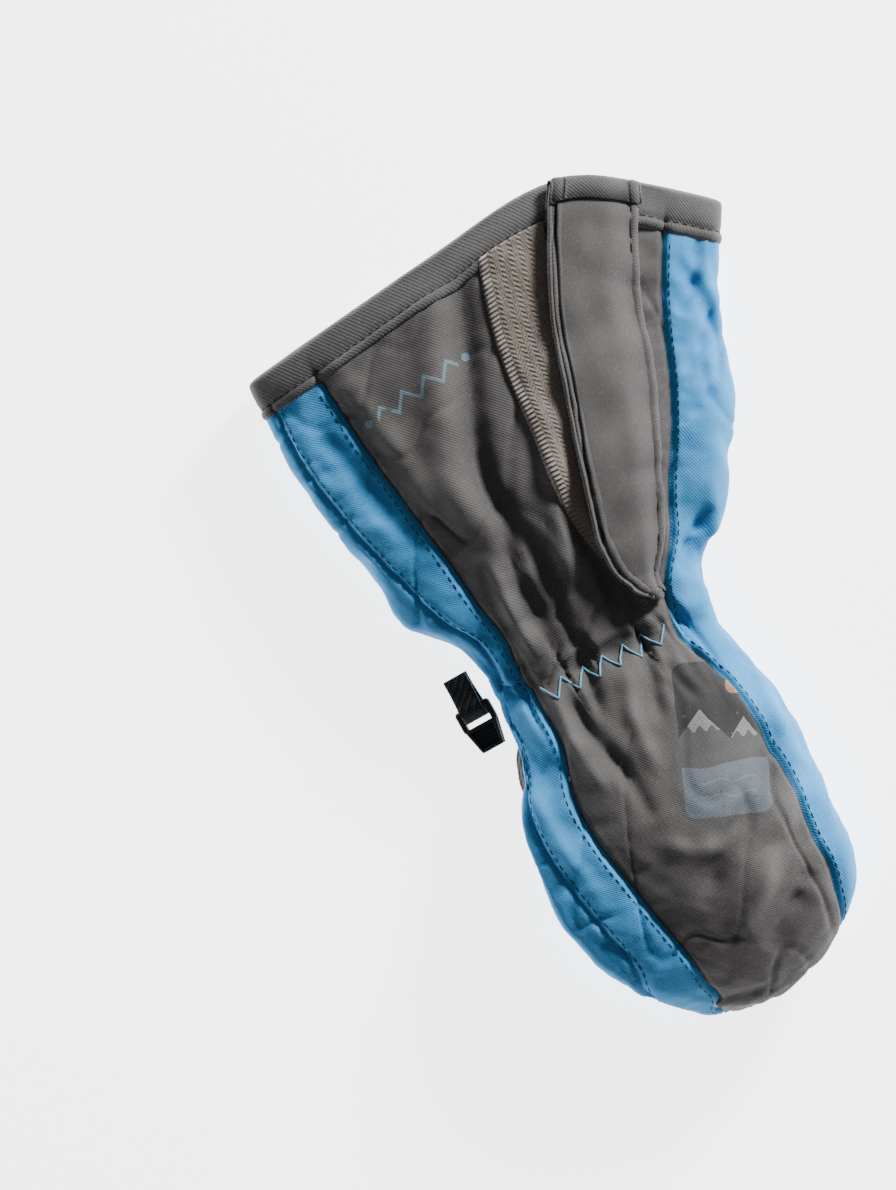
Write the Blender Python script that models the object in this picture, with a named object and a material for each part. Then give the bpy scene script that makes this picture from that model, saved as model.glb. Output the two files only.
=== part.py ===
"""A child's long-cuff ski mitten for the left hand, lying palm down.

Hand axis along Y (fingertip towards -Y, cuff mouth towards +Y), +X on the little
finger side, +Z up.  The origin is under the middle of the mitten, on the surface
that it lies on.  Sizes below are in millimetres.
"""
import math

import bmesh
import bpy

MM = 0.001

# Driving dimensions
HAND_LENGTH = 112.5          # from the wrist gather to the fingertip
HAND_HALF_WIDTH = 45.0
HAND_TOP = 36.5              # back of the hand above the surface
CUFF_LENGTH = 107.0          # wrist gather to the mouth, along the thumb side edge
CUFF_RISE = 24.5             # extra length of the cuff at the flap's free corner
CUFF_HALF_WIDTH = 75.5       # at the mouth
WRIST_HALF_WIDTH = 36.0
WRIST_TOP = 25.0
CUFF_TOP = 24.0
EDGE_HEIGHT = 12.5           # height of the side edge line at the wrist and the cuff
WRIST_GATHER = 8.0           # length of the gathered, flexible stretch
WRIST_CENTRE_Y = -10.2       # of the gather, from the origin
ORIGIN_X = 1.9               # middle of the mitten, from the wrist's centre line

GAP = 0.3                    # between touching pieces
SHELL = 0.9                  # face fabric with its membrane
WADDING = 2.6                # hand insulation
CUFF_WADDING = 1.4
LINING = 0.8
LAYER_GAP = 0.4

THUMB_LENGTH = 54.0
THUMB_HALF_WIDTH = 14.5
THUMB_THICKNESS = 15.0
THUMB_WADDING = 1.4
THUMB_BASE = (-26.5, -23.0)  # back end of the thumb, from the wrist's centre
THUMB_TURN = math.radians(4) # thumb's slant towards the fingertip
THUMB_BED_CLEARANCE = 1.0
THUMB_MOUTH_HALF = (7.0, 8.0)
THUMB_MOUTH_BACK = 14.0      # mouth's centre from the thumb's back end

LOOP_TAPE_WIDTH = 22.0
LOOP_TAPE = 0.9
HOOK_TAPE = 0.9
FLAP_BACKING = 0.5
FLAP_FABRIC = 0.7
EDGE_TAPE_WIDTH = 2.6
BINDING_HEIGHT = 9.5
BINDING_FABRIC = 0.8

WEB_WIDTH = 7.5
WEB_THICKNESS = 1.2
WEB_DROP = 11.0              # from the clip's bar to the seam
CLIP_LENGTH = 15.5
CLIP_WIDTH = 11.6
CLIP_THICKNESS = 3.4
CLIP_BAR = 2.0               # the bar that the webbing goes round
CLIP_SLOT = 3.4
CLIP_TIP = 0.62              # width of the free end as a share of the full width

HAND_ROWS = 11
THUMB_ROWS = 6


def curve_through(knots, t):
    """Smooth curve through (place, value) knots, with level-safe slopes."""
    if t <= knots[0][0]:
        return knots[0][1]
    for i in range(len(knots) - 1):
        if t <= knots[i + 1][0]:
            break
    (x0, y0), (x1, y1) = knots[i], knots[i + 1]
    slopes = [(b[1] - a[1]) / (b[0] - a[0]) for a, b in zip(knots, knots[1:])]
    m0 = slopes[0] if i == 0 else 0.5 * (slopes[i - 1] + slopes[i])
    m1 = slopes[-1] if i + 2 == len(knots) else 0.5 * (slopes[i] + slopes[i + 1])
    span = x1 - x0
    f = min(1.0, (t - x0) / span)
    return (y0 * (1 + 2 * f) * (1 - f) ** 2 + y1 * f * f * (3 - 2 * f)
            + m0 * span * f * (1 - f) ** 2 - m1 * span * f * f * (1 - f))


def ramp(x, start, end):
    """0 before start, 1 after end, smooth between."""
    f = max(0.0, min(1.0, (x - start) / (end - start)))
    return f * f * (3 - 2 * f)


# Hand: s runs from the wrist gather (0) to the fingertip (1), c across from the
# thumb side edge (-1) to the outer edge (1).
HAND_MIDDLE = ((0, -2.0), (.1, 2.3), (.2, .9), (.4, 1.7), (.5, 4.0), (.6, 5.3), (.8, 4.3), (1, 4.5))
HAND_SPREAD = ((0, .80), (.1, .888), (.2, .984), (.4, .998), (.5, .956), (.6, .829), (.8, .429), (1, 0))
THUMB_SEAM = ((0, -.70), (.2, -.626), (.4, -.463), (.55, -.42), (.8, -.54), (1, -.54))
SIDE_SEAM = ((0, -.985), (.16, -.975), (.3, -.88), (.45, -.78), (.6, -.84), (.8, -.9), (1, -.9))
OUTER_SEAM = ((0, .616), (.12, .744), (.3, .793), (.5, .81), (.7, .93), (1, .95))
HAND_CROWN = ((0, 0), (.15, .5), (.35, 1), (.6, .76), (.8, .1), (1, 0))
PALM_SEAM = .75              # radians below the edge line

# Cuff: t runs from the wrist gather (0) to the mouth (1).
CUFF_MIDDLE = ((0, -2.0), (.1, -3.4), (.2, -3.5), (.35, -1.5), (.5, -.85), (.75, -1.6), (1, 1.9))
CUFF_SPREAD = ((0, 0), (.1, .10), (.2, .38), (.35, .545), (.5, .69), (.75, .85), (1, 1))
MOUTH_LINE = ((-1, 0), (-.576, .33), (-.175, .64), (.396, 1), (.607, .81), (1, .11))
CUFF_THUMB_SEAM = ((0, -.70), (.2, -.6), (.5, -.66), (.8, -.71), (1, -.77))
SLIT_EDGE = ((0, .50), (.07, .42), (.14, .29), (.3, .10), (.5, .05), (1, .075))
HINGE_LINE = ((0, .56), (.12, .60), (.3, .60), (.6, .65), (1, .71))
CUFF_OUTER_SEAM = ((0, .616), (.12, .71), (.25, .70), (.5, .74), (.72, .77), (1, .80))
FLAP_EDGE = ((.05, .58), (.07, .50), (.12, .37), (.2, .22), (.28, .18), (.42, .18), (.6, .23), (1, .38))
CUFF_PALM_SEAM = .5

HAND_COLUMNS = (4, 8, 5, 7, 4)       # upper thumb side, back, outer side, palm, lower thumb side
CUFF_COLUMNS = (5, 6, 5, 1, 5, 7)    # thumb side, back, gusset, hinge strip, outer side, palm

WRIST_Y = WRIST_CENTRE_Y - WRIST_GATHER / 2
CUFF_Y = WRIST_CENTRE_Y + WRIST_GATHER / 2
SHELL_LAYER = (0.0, SHELL)
WADDING_LAYER = (SHELL + LAYER_GAP, SHELL + LAYER_GAP + WADDING)
LINING_LAYER = (WADDING_LAYER[1] + LAYER_GAP, WADDING_LAYER[1] + LAYER_GAP + LINING)
CUFF_WADDING_LAYER = (SHELL + LAYER_GAP, SHELL + LAYER_GAP + CUFF_WADDING)
CUFF_LINING_LAYER = (CUFF_WADDING_LAYER[1] + LAYER_GAP, CUFF_WADDING_LAYER[1] + LAYER_GAP + LINING)
THUMB_BED = THUMB_THICKNESS + THUMB_BED_CLEARANCE
BAND_START = 1 - BINDING_HEIGHT / CUFF_LENGTH
CUFF_ROW_PLACES = tuple(BAND_START * f for f in (0, .11, .25, .42, .6, .8, 1)) + (1.0,)
CUFF_ROWS = len(CUFF_ROW_PLACES) - 1


def angle_at(c):
    """Section angle on the back of the hand of the place c across it."""
    return math.acos(max(-1.0, min(1.0, -c)))


def hand_edge_height(s, c):
    left = 9.0 * ramp(-c, -.45, .35) * ramp(s, 0, .1) * (1 - ramp(s, .55, .95))
    return EDGE_HEIGHT + 4.0 * ramp(s, 0, .25) - 4.5 * ramp(s, .6, 1) + left


def hand_point(angle, s, inset):
    """Point of the hand's skin, pulled in by inset."""
    c = -math.cos(angle)
    share = 1 - inset / (0.5 * HAND_TOP)
    half = HAND_HALF_WIDTH * curve_through(HAND_SPREAD, s)
    x = curve_through(HAND_MIDDLE, s) + half * c * (1 - inset / HAND_HALF_WIDTH)
    y = WRIST_Y - HAND_LENGTH * math.sin(s * math.pi / 2) + inset * s ** 8
    edge = hand_edge_height(s, c)
    tip = ramp(s, .62, 1.0)
    if math.sin(angle) >= 0:
        crown = WRIST_TOP + (HAND_TOP - WRIST_TOP) * curve_through(HAND_CROWN, s)
        crown += (edge - crown) * (1 - math.sqrt(max(0.0, 1 - s ** 5)))
        z = edge + (crown - edge) * share * abs(math.sin(angle)) ** .72
    else:
        bed = THUMB_BED * (1 - ramp(c, -.12, .30)) * ramp(s, 0, .065) * (1 - ramp(s, .46, .62))
        bed += (edge - bed) * (1 - math.sqrt(max(0.0, 1 - tip ** 2)))
        depth = edge - bed
        depth -= inset * min(1.0, depth / 9.0)
        z = edge - depth * min(1.0, 1.16 * abs(math.sin(angle)) ** .5)
    return x - ORIGIN_X, y, z


def cuff_point(angle, t, inset):
    """Point of the cuff's skin, pulled in by inset (out where it is negative)."""
    c = -math.cos(angle)
    spread = curve_through(CUFF_SPREAD, t)
    half = WRIST_HALF_WIDTH + (CUFF_HALF_WIDTH - WRIST_HALF_WIDTH) * spread - inset
    x = curve_through(CUFF_MIDDLE, t) + half * c
    y = CUFF_Y + t * (CUFF_LENGTH + CUFF_RISE * curve_through(MOUTH_LINE, c))
    if math.sin(angle) >= 0:
        crown = WRIST_TOP + (CUFF_TOP - WRIST_TOP) * t + 3.0 * math.sin(math.pi * min(1, t * 1.3)) ** 2
        z = EDGE_HEIGHT + (crown - EDGE_HEIGHT - inset) * abs(math.sin(angle)) ** .6
    else:
        floor = (GAP + BINDING_FABRIC) * ramp(t, 0, BAND_START) + inset
        z = EDGE_HEIGHT - (EDGE_HEIGHT - floor) * min(1.0, 1.04 * abs(math.sin(angle)) ** .45)
    return x - ORIGIN_X, y, z


def gather_point(angle, f, inset):
    """Point of the flexible wrist between hand (f=0) and cuff (f=1)."""
    low = hand_point(angle, 0.0, inset)
    high = cuff_point(angle, 0.0, inset)
    f = (GAP + f * (WRIST_GATHER - 2 * GAP)) / WRIST_GATHER
    x, y, z = (a + (b - a) * f for a, b in zip(low, high))
    return x, y, z


def hand_seams(s):
    """Section angles of the hand's seams, once round."""
    side = angle_at(curve_through(SIDE_SEAM, s))
    return (side, angle_at(curve_through(THUMB_SEAM, s)), angle_at(curve_through(OUTER_SEAM, s)),
            math.pi + PALM_SEAM, 2 * math.pi - PALM_SEAM, 2 * math.pi + side)


def cuff_seams(t):
    """Section angles of the cuff's seams, once round."""
    low = -CUFF_PALM_SEAM
    tops = [angle_at(curve_through(line, t)) for line in
            (CUFF_THUMB_SEAM, SLIT_EDGE, HINGE_LINE, CUFF_OUTER_SEAM)]
    return (low, *tops, math.pi + CUFF_PALM_SEAM, 2 * math.pi + low)


def spaced(seams, columns):
    """Section angles of all grid lines, evenly spaced between the seams."""
    lines = [seams[0]]
    for start, end, count in zip(seams, seams[1:], columns):
        lines += [start + (end - start) * (k + 1) / count for k in range(count)]
    return lines


def hand_lines(s):
    return spaced(hand_seams(s), HAND_COLUMNS)


def cuff_lines(t):
    return spaced(cuff_seams(t), CUFF_COLUMNS)


def column_range(columns, sector):
    """First and last grid line of a sector."""
    first = sum(columns[:sector])
    return first, first + columns[sector]


def clear_scene():
    for obj in list(bpy.data.objects):
        bpy.data.objects.remove(obj, do_unlink=True)


def finish_material(name, colour, roughness):
    material = bpy.data.materials.new(name)
    material.use_nodes = True
    shader = material.node_tree.nodes["Principled BSDF"]
    shader.inputs["Base Color"].default_value = (*colour, 1)
    shader.inputs["Roughness"].default_value = roughness
    return material


FINISHES = {
    "grey_twill": ((.13, .118, .11), .8),
    "blue_twill": (( .10, .37, .65), .75),
    "black_grip": ((.012, .012, .014), .7),
    "binding_tape": ((.105, .1, .098), .85),
    "wadding": ((.8, .8, .78), .95),
    "fleece": ((.09, .09, .1), .95),
    "loop_pile": ((.24, .19, .14), .95),
    "hook_tape": ((.05, .05, .05), .6),
    "elastic": ((.6, .6, .6), .85),
    "webbing": ((.012, .012, .012), .8),
    "plastic": ((.01, .01, .011), .4),
}


def add_object(name, bm, finish, origin=(0, 0, 0), lining_faces=()):
    """Make a mesh in millimetres an object in metres, with its origin at the given place."""
    bmesh.ops.recalc_face_normals(bm, faces=bm.faces)
    bmesh.ops.reverse_faces(bm, faces=list(lining_faces))
    for vert in bm.verts:
        vert.co = [(v - o) * MM for v, o in zip(vert.co, origin)]
    mesh = bpy.data.meshes.new(name)
    bm.to_mesh(mesh)
    bm.free()
    mesh.materials.append(finish_material(name, *FINISHES[finish]))
    mesh.shade_smooth()
    mesh.set_sharp_from_angle(angle=math.radians(40))
    obj = bpy.data.objects.new(name, mesh)
    bpy.context.scene.collection.objects.link(obj)
    obj.location = [o * MM for o in origin]
    return obj


def patch(name, place, columns, rows, layer, finish, origin=(0, 0, 0)):
    """A sheet with a thickness: place(column, row, inset) gives its points.

    Where its first and last columns meet, or a row is one point, it closes there.
    """
    bm = bmesh.new()
    bmesh.ops.create_grid(bm, x_segments=columns, y_segments=rows, size=0.5)
    column_of = bm.verts.layers.float.new("column")
    row_of = bm.verts.layers.float.new("row")
    for vert in bm.verts:
        vert[column_of] = round((vert.co.x + 0.5) * columns)
        vert[row_of] = round((vert.co.y + 0.5) * rows)
    for vert in bm.verts:
        vert.co = place(round(vert[column_of]), round(vert[row_of]), layer[0])
    bmesh.ops.remove_doubles(bm, verts=bm.verts, dist=0.0005)
    sealed = not any(edge.is_boundary for edge in bm.edges)
    grown = bmesh.ops.extrude_face_region(bm, geom=list(bm.faces), use_keep_orig=True)["geom"]
    inner = {v for v in grown if isinstance(v, bmesh.types.BMVert)}
    for vert in inner:
        vert.co = place(round(vert[column_of]), round(vert[row_of]), layer[1])
    bmesh.ops.triangulate(bm, faces=bm.faces)
    inside = [face for face in bm.faces if sealed and inner.issuperset(face.verts)]
    return add_object(name, bm, finish, origin, inside)


def seam_gap(value, first, last, column, width_per_radian):
    """Section angle moved off a seam by half the gap."""
    shift = 0.5 * GAP / width_per_radian
    return value + shift * ((column == first) - (column == last))


def hand_panel(name, sector, finish):
    first, last = column_range(HAND_COLUMNS, sector)

    def place(column, row, inset):
        s = row / HAND_ROWS
        if row == HAND_ROWS:
            s = 0.985
        angle = seam_gap(hand_lines(s)[first + column], first, last, first + column, 14.0 * (1.15 - s))
        return hand_point(angle, s, inset)

    return patch(name, place, last - first, HAND_ROWS, SHELL_LAYER, finish)


def hand_bag(name, layer, finish):
    """A closed mitten shape, open at the wrist."""
    columns = sum(HAND_COLUMNS)

    def place(column, row, inset):
        s = row / HAND_ROWS
        return hand_point(hand_lines(s)[column % columns], s, inset)

    return patch(name, place, columns, HAND_ROWS, layer, finish)


def cuff_panel(name, sector, finish):
    first, last = column_range(CUFF_COLUMNS, sector)

    def place(column, row, inset):
        t = CUFF_ROW_PLACES[row]
        angle = seam_gap(cuff_lines(t)[first + column], first, last, first + column, 30.0)
        return cuff_point(angle, t, inset)

    return patch(name, place, last - first, CUFF_ROWS, SHELL_LAYER, finish)


def cuff_tube(name, layer, finish):
    columns = sum(CUFF_COLUMNS)

    def place(column, row, inset):
        t = CUFF_ROW_PLACES[row]
        return cuff_point(cuff_lines(t)[column % columns], t, inset)

    return patch(name, place, columns, CUFF_ROWS, layer, finish)


def gather_panel(name, sector, layer, finish):
    """One of the four flexible wrist panels, in line with the hand's panels."""
    starts = hand_seams(0.0)
    spans = ((starts[1], starts[2], 8), (starts[2], starts[3], 4), (starts[3], starts[4], 7),
             (starts[4] - 2 * math.pi, starts[1], 6))
    start, end, count = spans[sector]

    def place(column, row, inset):
        angle = seam_gap(start + (end - start) * column / count, 0, count, column, 16.0)
        return gather_point(angle, row / 2, inset)

    return patch(name, place, count, 2, layer, finish)


def gather_tube(name, layer, finish):
    count = 24

    def place(column, row, inset):
        return gather_point(2 * math.pi * (column % count) / count, row / 2, inset)

    return patch(name, place, count, 2, layer, finish)


def thumb_point(angle, q, inset):
    """Point of the thumb pocket; q runs from its back end (0) to its tip (1)."""
    share = 1 - inset / (0.5 * THUMB_THICKNESS)
    along = 0.5 * THUMB_LENGTH + (0.5 * THUMB_LENGTH - inset) * -math.cos(math.pi * q)
    swell = math.sin(math.pi * q) ** .65 if 0 < q < 1 else 0.0
    taper = 1.0 - .16 * q
    across = (THUMB_HALF_WIDTH - inset) * taper * swell * -math.cos(angle)
    middle = 0.5 * THUMB_THICKNESS
    up = math.sin(angle)
    rise = math.copysign(abs(up) ** .7, up)
    z = middle + middle * share * swell * rise
    turned_x = THUMB_BASE[0] - ORIGIN_X + across * math.cos(THUMB_TURN) + along * math.sin(THUMB_TURN)
    turned_y = WRIST_CENTRE_Y + THUMB_BASE[1] + 7.0 - along * math.cos(THUMB_TURN) \
        + across * math.sin(THUMB_TURN)
    return turned_x, turned_y, z


THUMB_PIVOT = (THUMB_BASE[0] - ORIGIN_X, WRIST_CENTRE_Y + THUMB_BASE[1], 0.0)


def thumb_half(name, upper):
    """Upper or lower half of the thumb's shell, split along its edge line."""
    count = 8

    def place(column, row, inset):
        q = min(.97, max(.03, row / THUMB_ROWS))
        angle = math.pi * column / count + (0 if upper else math.pi)
        angle = seam_gap(angle, 0, count, column, 5.5)
        return thumb_point(angle, q, inset)

    return patch(name, place, count, THUMB_ROWS, (0.0, SHELL), "black_grip", THUMB_PIVOT)


def thumb_bag(name, layer, finish):
    count = 16

    def place(column, row, inset):
        return thumb_point(2 * math.pi * (column % count) / count, row / THUMB_ROWS, inset)

    return patch(name, place, count, THUMB_ROWS, layer, finish, THUMB_PIVOT)


def cut_thumb_mouth(pieces):
    """Cut the oval way from the hand into the thumb through every layer between them."""
    along = THUMB_MOUTH_BACK - 7.0
    x = THUMB_PIVOT[0] + along * math.sin(THUMB_TURN)
    y = THUMB_PIVOT[1] - along * math.cos(THUMB_TURN)
    low, high = 0.5 * THUMB_THICKNESS, THUMB_BED + 0.42 * (HAND_TOP - THUMB_BED)
    bm = bmesh.new()
    bmesh.ops.create_cone(bm, cap_ends=True, segments=16, radius1=1, radius2=1, depth=high - low)
    for vert in bm.verts:
        vert.co = (x + vert.co.x * THUMB_MOUTH_HALF[0], y + vert.co.y * THUMB_MOUTH_HALF[1],
                   vert.co.z + 0.5 * (low + high))
    cutter = add_object("thumb_mouth_cutter", bm, "black_grip")
    cutter.hide_render = True
    cutter.display_type = "WIRE"
    for piece in pieces:
        cut = piece.modifiers.new("thumb_mouth", "BOOLEAN")
        cut.operation = "DIFFERENCE"
        cut.solver = "EXACT"
        cut.object = cutter


# The flap lies on the cuff: layers are heights above the cuff's skin, so their
# insets are negative.
LOOP_LAYER = (-(GAP + LOOP_TAPE), -GAP)
HOOK_LAYER = (-(2 * GAP + LOOP_TAPE + HOOK_TAPE), -(2 * GAP + LOOP_TAPE))
BACKING_BASE = 3 * GAP + LOOP_TAPE + HOOK_TAPE
BACKING_LAYER = (-(BACKING_BASE + FLAP_BACKING), -BACKING_BASE)
FLAP_BASE = BACKING_BASE + FLAP_BACKING + GAP
FLAP_LAYER = (-(FLAP_BASE + FLAP_FABRIC), -FLAP_BASE)
FLAP_ROWS = (.06, .09, .13, .2, .3, .45, .6, .75, .9, .985)


def flap_place(t, share, inset):
    """share 0 is the hinge line, 1 the free edge."""
    hinge = curve_through(HINGE_LINE, t)
    free = curve_through(FLAP_EDGE, t)
    return cuff_point(angle_at(hinge + (free - hinge) * share), t, inset)


def flap_width(t):
    low, high = flap_place(t, 0, 0), flap_place(t, 1, 0)
    return math.dist(low, high)


def hinge_ends():
    """Both ends of the flap's hinge axis, at the top face of the flap."""
    return flap_place(FLAP_ROWS[0], 0, FLAP_LAYER[0]), flap_place(FLAP_ROWS[-1], 0, FLAP_LAYER[0])


def flap_sheet(name, rows, start_mm, end_mm, layer, finish, count=4):
    """Part of the flap, from start_mm off the hinge line to end_mm short of the free edge."""

    def place(column, row, inset):
        t = rows[row]
        width = flap_width(t)
        start = min(.3, start_mm / width)
        end = 1 - min(.6, end_mm / width)
        return flap_place(t, start + (end - start) * column / count, inset)

    return patch(name, place, count, len(rows) - 1, layer, finish, hinge_ends()[0])


def flap_edge_strip(name, rows, layer, finish):
    """Tape over the flap's free edge."""

    def place(column, row, inset):
        t = rows[row]
        width = flap_width(t)
        share = 1 - (EDGE_TAPE_WIDTH * (1 - column)) / width if column == 0 else 1.0
        return flap_place(t, max(.45, share), inset)

    return patch(name, place, 1, len(rows) - 1, layer, finish, hinge_ends()[0])


def hook_strip(rows):
    """Hook tape under the flap's free edge, over the loop tape."""

    def place(column, row, inset):
        t = rows[row]
        width = flap_width(t)
        end = 1 - (EDGE_TAPE_WIDTH + GAP) / width
        start = end - min(.6, 16.0 / width)
        return flap_place(t, start + (end - start) * column / 2, inset)

    return patch("hook_strip", place, 2, len(rows) - 1, HOOK_LAYER, "hook_tape", hinge_ends()[0])


def loop_strip():
    """Loop tape on the cuff along the slit, under the flap."""
    rows = (.33, .46, .6, .75, .88, .988)

    def place(column, row, inset):
        t = BAND_START * rows[row]
        half = WRIST_HALF_WIDTH + (CUFF_HALF_WIDTH - WRIST_HALF_WIDTH) * curve_through(CUFF_SPREAD, t)
        c = curve_through(SLIT_EDGE, t) - .02 + column / 3 * LOOP_TAPE_WIDTH / half
        return cuff_point(angle_at(c), t, inset)

    return patch("loop_strip", place, 3, len(rows) - 1, LOOP_LAYER, "loop_pile")


def swept_band(name, corners, place, count, closed, origin=(0, 0, 0)):
    """A folded tape at the cuff's mouth: corners are (t, inset) once round its section."""
    bm = bmesh.new()
    rings = [[bm.verts.new(place(k, t, inset)) for t, inset in corners] for k in range(count)]
    pairs = list(zip(rings, rings[1:] + rings[:1])) if closed else list(zip(rings, rings[1:]))
    for a, b in pairs:
        for k in range(len(corners)):
            n = (k + 1) % len(corners)
            bm.faces.new((a[k], a[n], b[n], b[k]))
    for ring in [] if closed else (rings[0], rings[-1]):
        for corner_set in U_SECTION_FACES:
            bm.faces.new([ring[k] for k in corner_set])
    bmesh.ops.triangulate(bm, faces=bm.faces)
    return add_object(name, bm, "binding_tape", origin)


U_SECTION_FACES = ((0, 1, 8, 9), (1, 2, 3, 4), (1, 4, 7, 8), (4, 5, 6, 7))


def u_section(outside, inside, start, fold):
    """Corners of a tape folded over an edge at t = fold, from its outer leg to its inner leg."""
    past = fold + BINDING_FABRIC / CUFF_LENGTH
    inner = fold + 0.1 * GAP / CUFF_LENGTH
    return ((start, outside - BINDING_FABRIC), (fold, outside - BINDING_FABRIC),
            (past, outside - 0.4 * BINDING_FABRIC), (past, inside + 0.4 * BINDING_FABRIC),
            (fold, inside + BINDING_FABRIC), (start, inside + BINDING_FABRIC),
            (start, inside), (inner, inside), (inner, outside), (start, outside))


def cuff_binding():
    """Tape over the cuff's mouth, all round, on the cuff's own grid lines."""
    fold = 1 + GAP / CUFF_LENGTH
    corners = u_section(-GAP, CUFF_LINING_LAYER[1] + GAP, BAND_START, fold)

    def place(k, t, inset):
        return cuff_point(cuff_lines(min(t, 1.0))[k], t, inset)

    return swept_band("cuff_binding", corners, place, sum(CUFF_COLUMNS), True)


def flap_binding():
    """Tape over the flap's top end."""
    count = 5
    top = FLAP_ROWS[-1] + GAP / CUFF_LENGTH
    corners = u_section(FLAP_LAYER[0] - 3 * GAP, BACKING_LAYER[1] + GAP, FLAP_ROWS[-2], top)

    def place(k, t, inset):
        return flap_place(min(t, 1.0), k / (count - 1), inset)

    return swept_band("flap_binding", corners, place, count, False, hinge_ends()[0])


def build_flap():
    rows = FLAP_ROWS
    tape = EDGE_TAPE_WIDTH + GAP
    flap_sheet("cuff_flap", rows, 0.0, tape, FLAP_LAYER, "grey_twill")
    flap_sheet("flap_backing", rows, 1.5, tape, BACKING_LAYER, "grey_twill")
    flap_edge_strip("flap_edge_tape", rows, (FLAP_LAYER[0], BACKING_LAYER[1]), "binding_tape")
    hook_strip((.3, .45, .6, .75, .88))
    flap_binding()


# Clip: a plate on a webbing loop sewn into the thumb side seam at the wrist.
CLIP_PIVOT = (-WRIST_HALF_WIDTH - 9.2 - ORIGIN_X, WRIST_CENTRE_Y - 3.0, 9.0)
CLIP_TURN = math.radians(9)
CLIP_TILT = math.radians(12)


def clip_space(x, y, z):
    """From the clip's own frame (y towards its free end, z off its face) to the mitten's."""
    tilt_x = x * math.cos(CLIP_TILT) - z * math.sin(CLIP_TILT)
    tilt_z = x * math.sin(CLIP_TILT) + z * math.cos(CLIP_TILT)
    turn_x = tilt_x * math.cos(CLIP_TURN) - y * math.sin(CLIP_TURN)
    turn_y = tilt_x * math.sin(CLIP_TURN) + y * math.cos(CLIP_TURN)
    return CLIP_PIVOT[0] + turn_x, CLIP_PIVOT[1] + turn_y, CLIP_PIVOT[2] + tilt_z


def holed_plate(name, outline, hole, half_depth, to_space, finish, origin=(0, 0, 0)):
    """A plate with one hole, cut square through: to_space(u, v, w) places its points."""
    bm = bmesh.new()
    edges = []
    for loop in (outline, hole):
        verts = [bm.verts.new((u, v, -half_depth)) for u, v in loop]
        edges += [bm.edges.new((a, b)) for a, b in zip(verts, verts[1:] + verts[:1])]
    bmesh.ops.triangle_fill(bm, edges=edges, use_beauty=True)
    grown = bmesh.ops.extrude_face_region(bm, geom=list(bm.faces), use_keep_orig=True)["geom"]
    for vert in grown:
        if isinstance(vert, bmesh.types.BMVert):
            vert.co.z = half_depth
    for vert in bm.verts:
        vert.co = to_space(*vert.co)
    return add_object(name, bm, finish, origin)


def clip_body():
    """Plate with a bar and a slot for the webbing, and a narrower free end."""
    half = CLIP_WIDTH / 2
    tip = half * CLIP_TIP
    slot_end = -CLIP_BAR / 2 - CLIP_SLOT
    shoulder = slot_end - 2.5
    free_end = CLIP_BAR / 2 - CLIP_LENGTH
    outline = [(-half, CLIP_BAR / 2), (half, CLIP_BAR / 2), (half, shoulder), (tip, free_end),
               (-tip, free_end), (-half, shoulder)]
    slot = WEB_WIDTH / 2 + 2 * GAP
    hole = [(-slot, -CLIP_BAR / 2), (slot, -CLIP_BAR / 2), (slot, slot_end), (-slot, slot_end)]
    return holed_plate("clip_body", outline, hole, CLIP_THICKNESS / 2, clip_space, "plastic", CLIP_PIVOT)


def clip_webbing():
    """Webbing looped round the clip's bar, its two ends together in the side seam."""
    inner = math.hypot(CLIP_BAR, CLIP_THICKNESS) / 2 + GAP
    outer = inner + WEB_THICKNESS
    turns = [math.radians(30 * k) for k in range(1, 12)]
    outline = [(outer * math.cos(a), outer * math.sin(a)) for a in turns]
    outline += [(WEB_DROP, -WEB_THICKNESS), (WEB_DROP, WEB_THICKNESS)]
    hole = [(inner * math.cos(a), inner * math.sin(a)) for a in [0.0] + turns]

    def to_space(along, up, across):
        return clip_space(across, along, up)

    return holed_plate("clip_webbing", outline, hole, WEB_WIDTH / 2, to_space, "webbing")


def build_hand():
    hand_panel("thumb_side_panel", 0, "blue_twill")
    hand_panel("back_panel", 1, "grey_twill")
    hand_panel("outer_side_panel", 2, "blue_twill")
    palm = hand_panel("palm_panel", 3, "black_grip")
    hand_panel("thumb_side_lower_panel", 4, "blue_twill")
    wadding = hand_bag("hand_insulation", WADDING_LAYER, "wadding")
    lining = hand_bag("hand_lining", LINING_LAYER, "fleece")
    return palm, wadding, lining


def build_thumb():
    upper = thumb_half("thumb_inner_panel", True)
    thumb_half("thumb_outer_panel", False)
    wadding_start = SHELL + LAYER_GAP
    lining_start = wadding_start + THUMB_WADDING + LAYER_GAP
    wadding = thumb_bag("thumb_insulation", (wadding_start, wadding_start + THUMB_WADDING), "wadding")
    lining = thumb_bag("thumb_lining", (lining_start, lining_start + LINING), "fleece")
    return upper, wadding, lining


def build_cuff():
    cuff_panel("cuff_thumb_side_panel", 0, "blue_twill")
    cuff_panel("cuff_back_panel", 1, "grey_twill")
    cuff_panel("cuff_gusset", 2, "grey_twill")
    cuff_panel("cuff_hinge_strip", 3, "grey_twill")
    cuff_panel("cuff_outer_side_panel", 4, "blue_twill")
    cuff_panel("cuff_palm_panel", 5, "grey_twill")
    cuff_tube("cuff_insulation", CUFF_WADDING_LAYER, "wadding")
    cuff_tube("cuff_lining", CUFF_LINING_LAYER, "fleece")
    loop_strip()
    cuff_binding()


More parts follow.
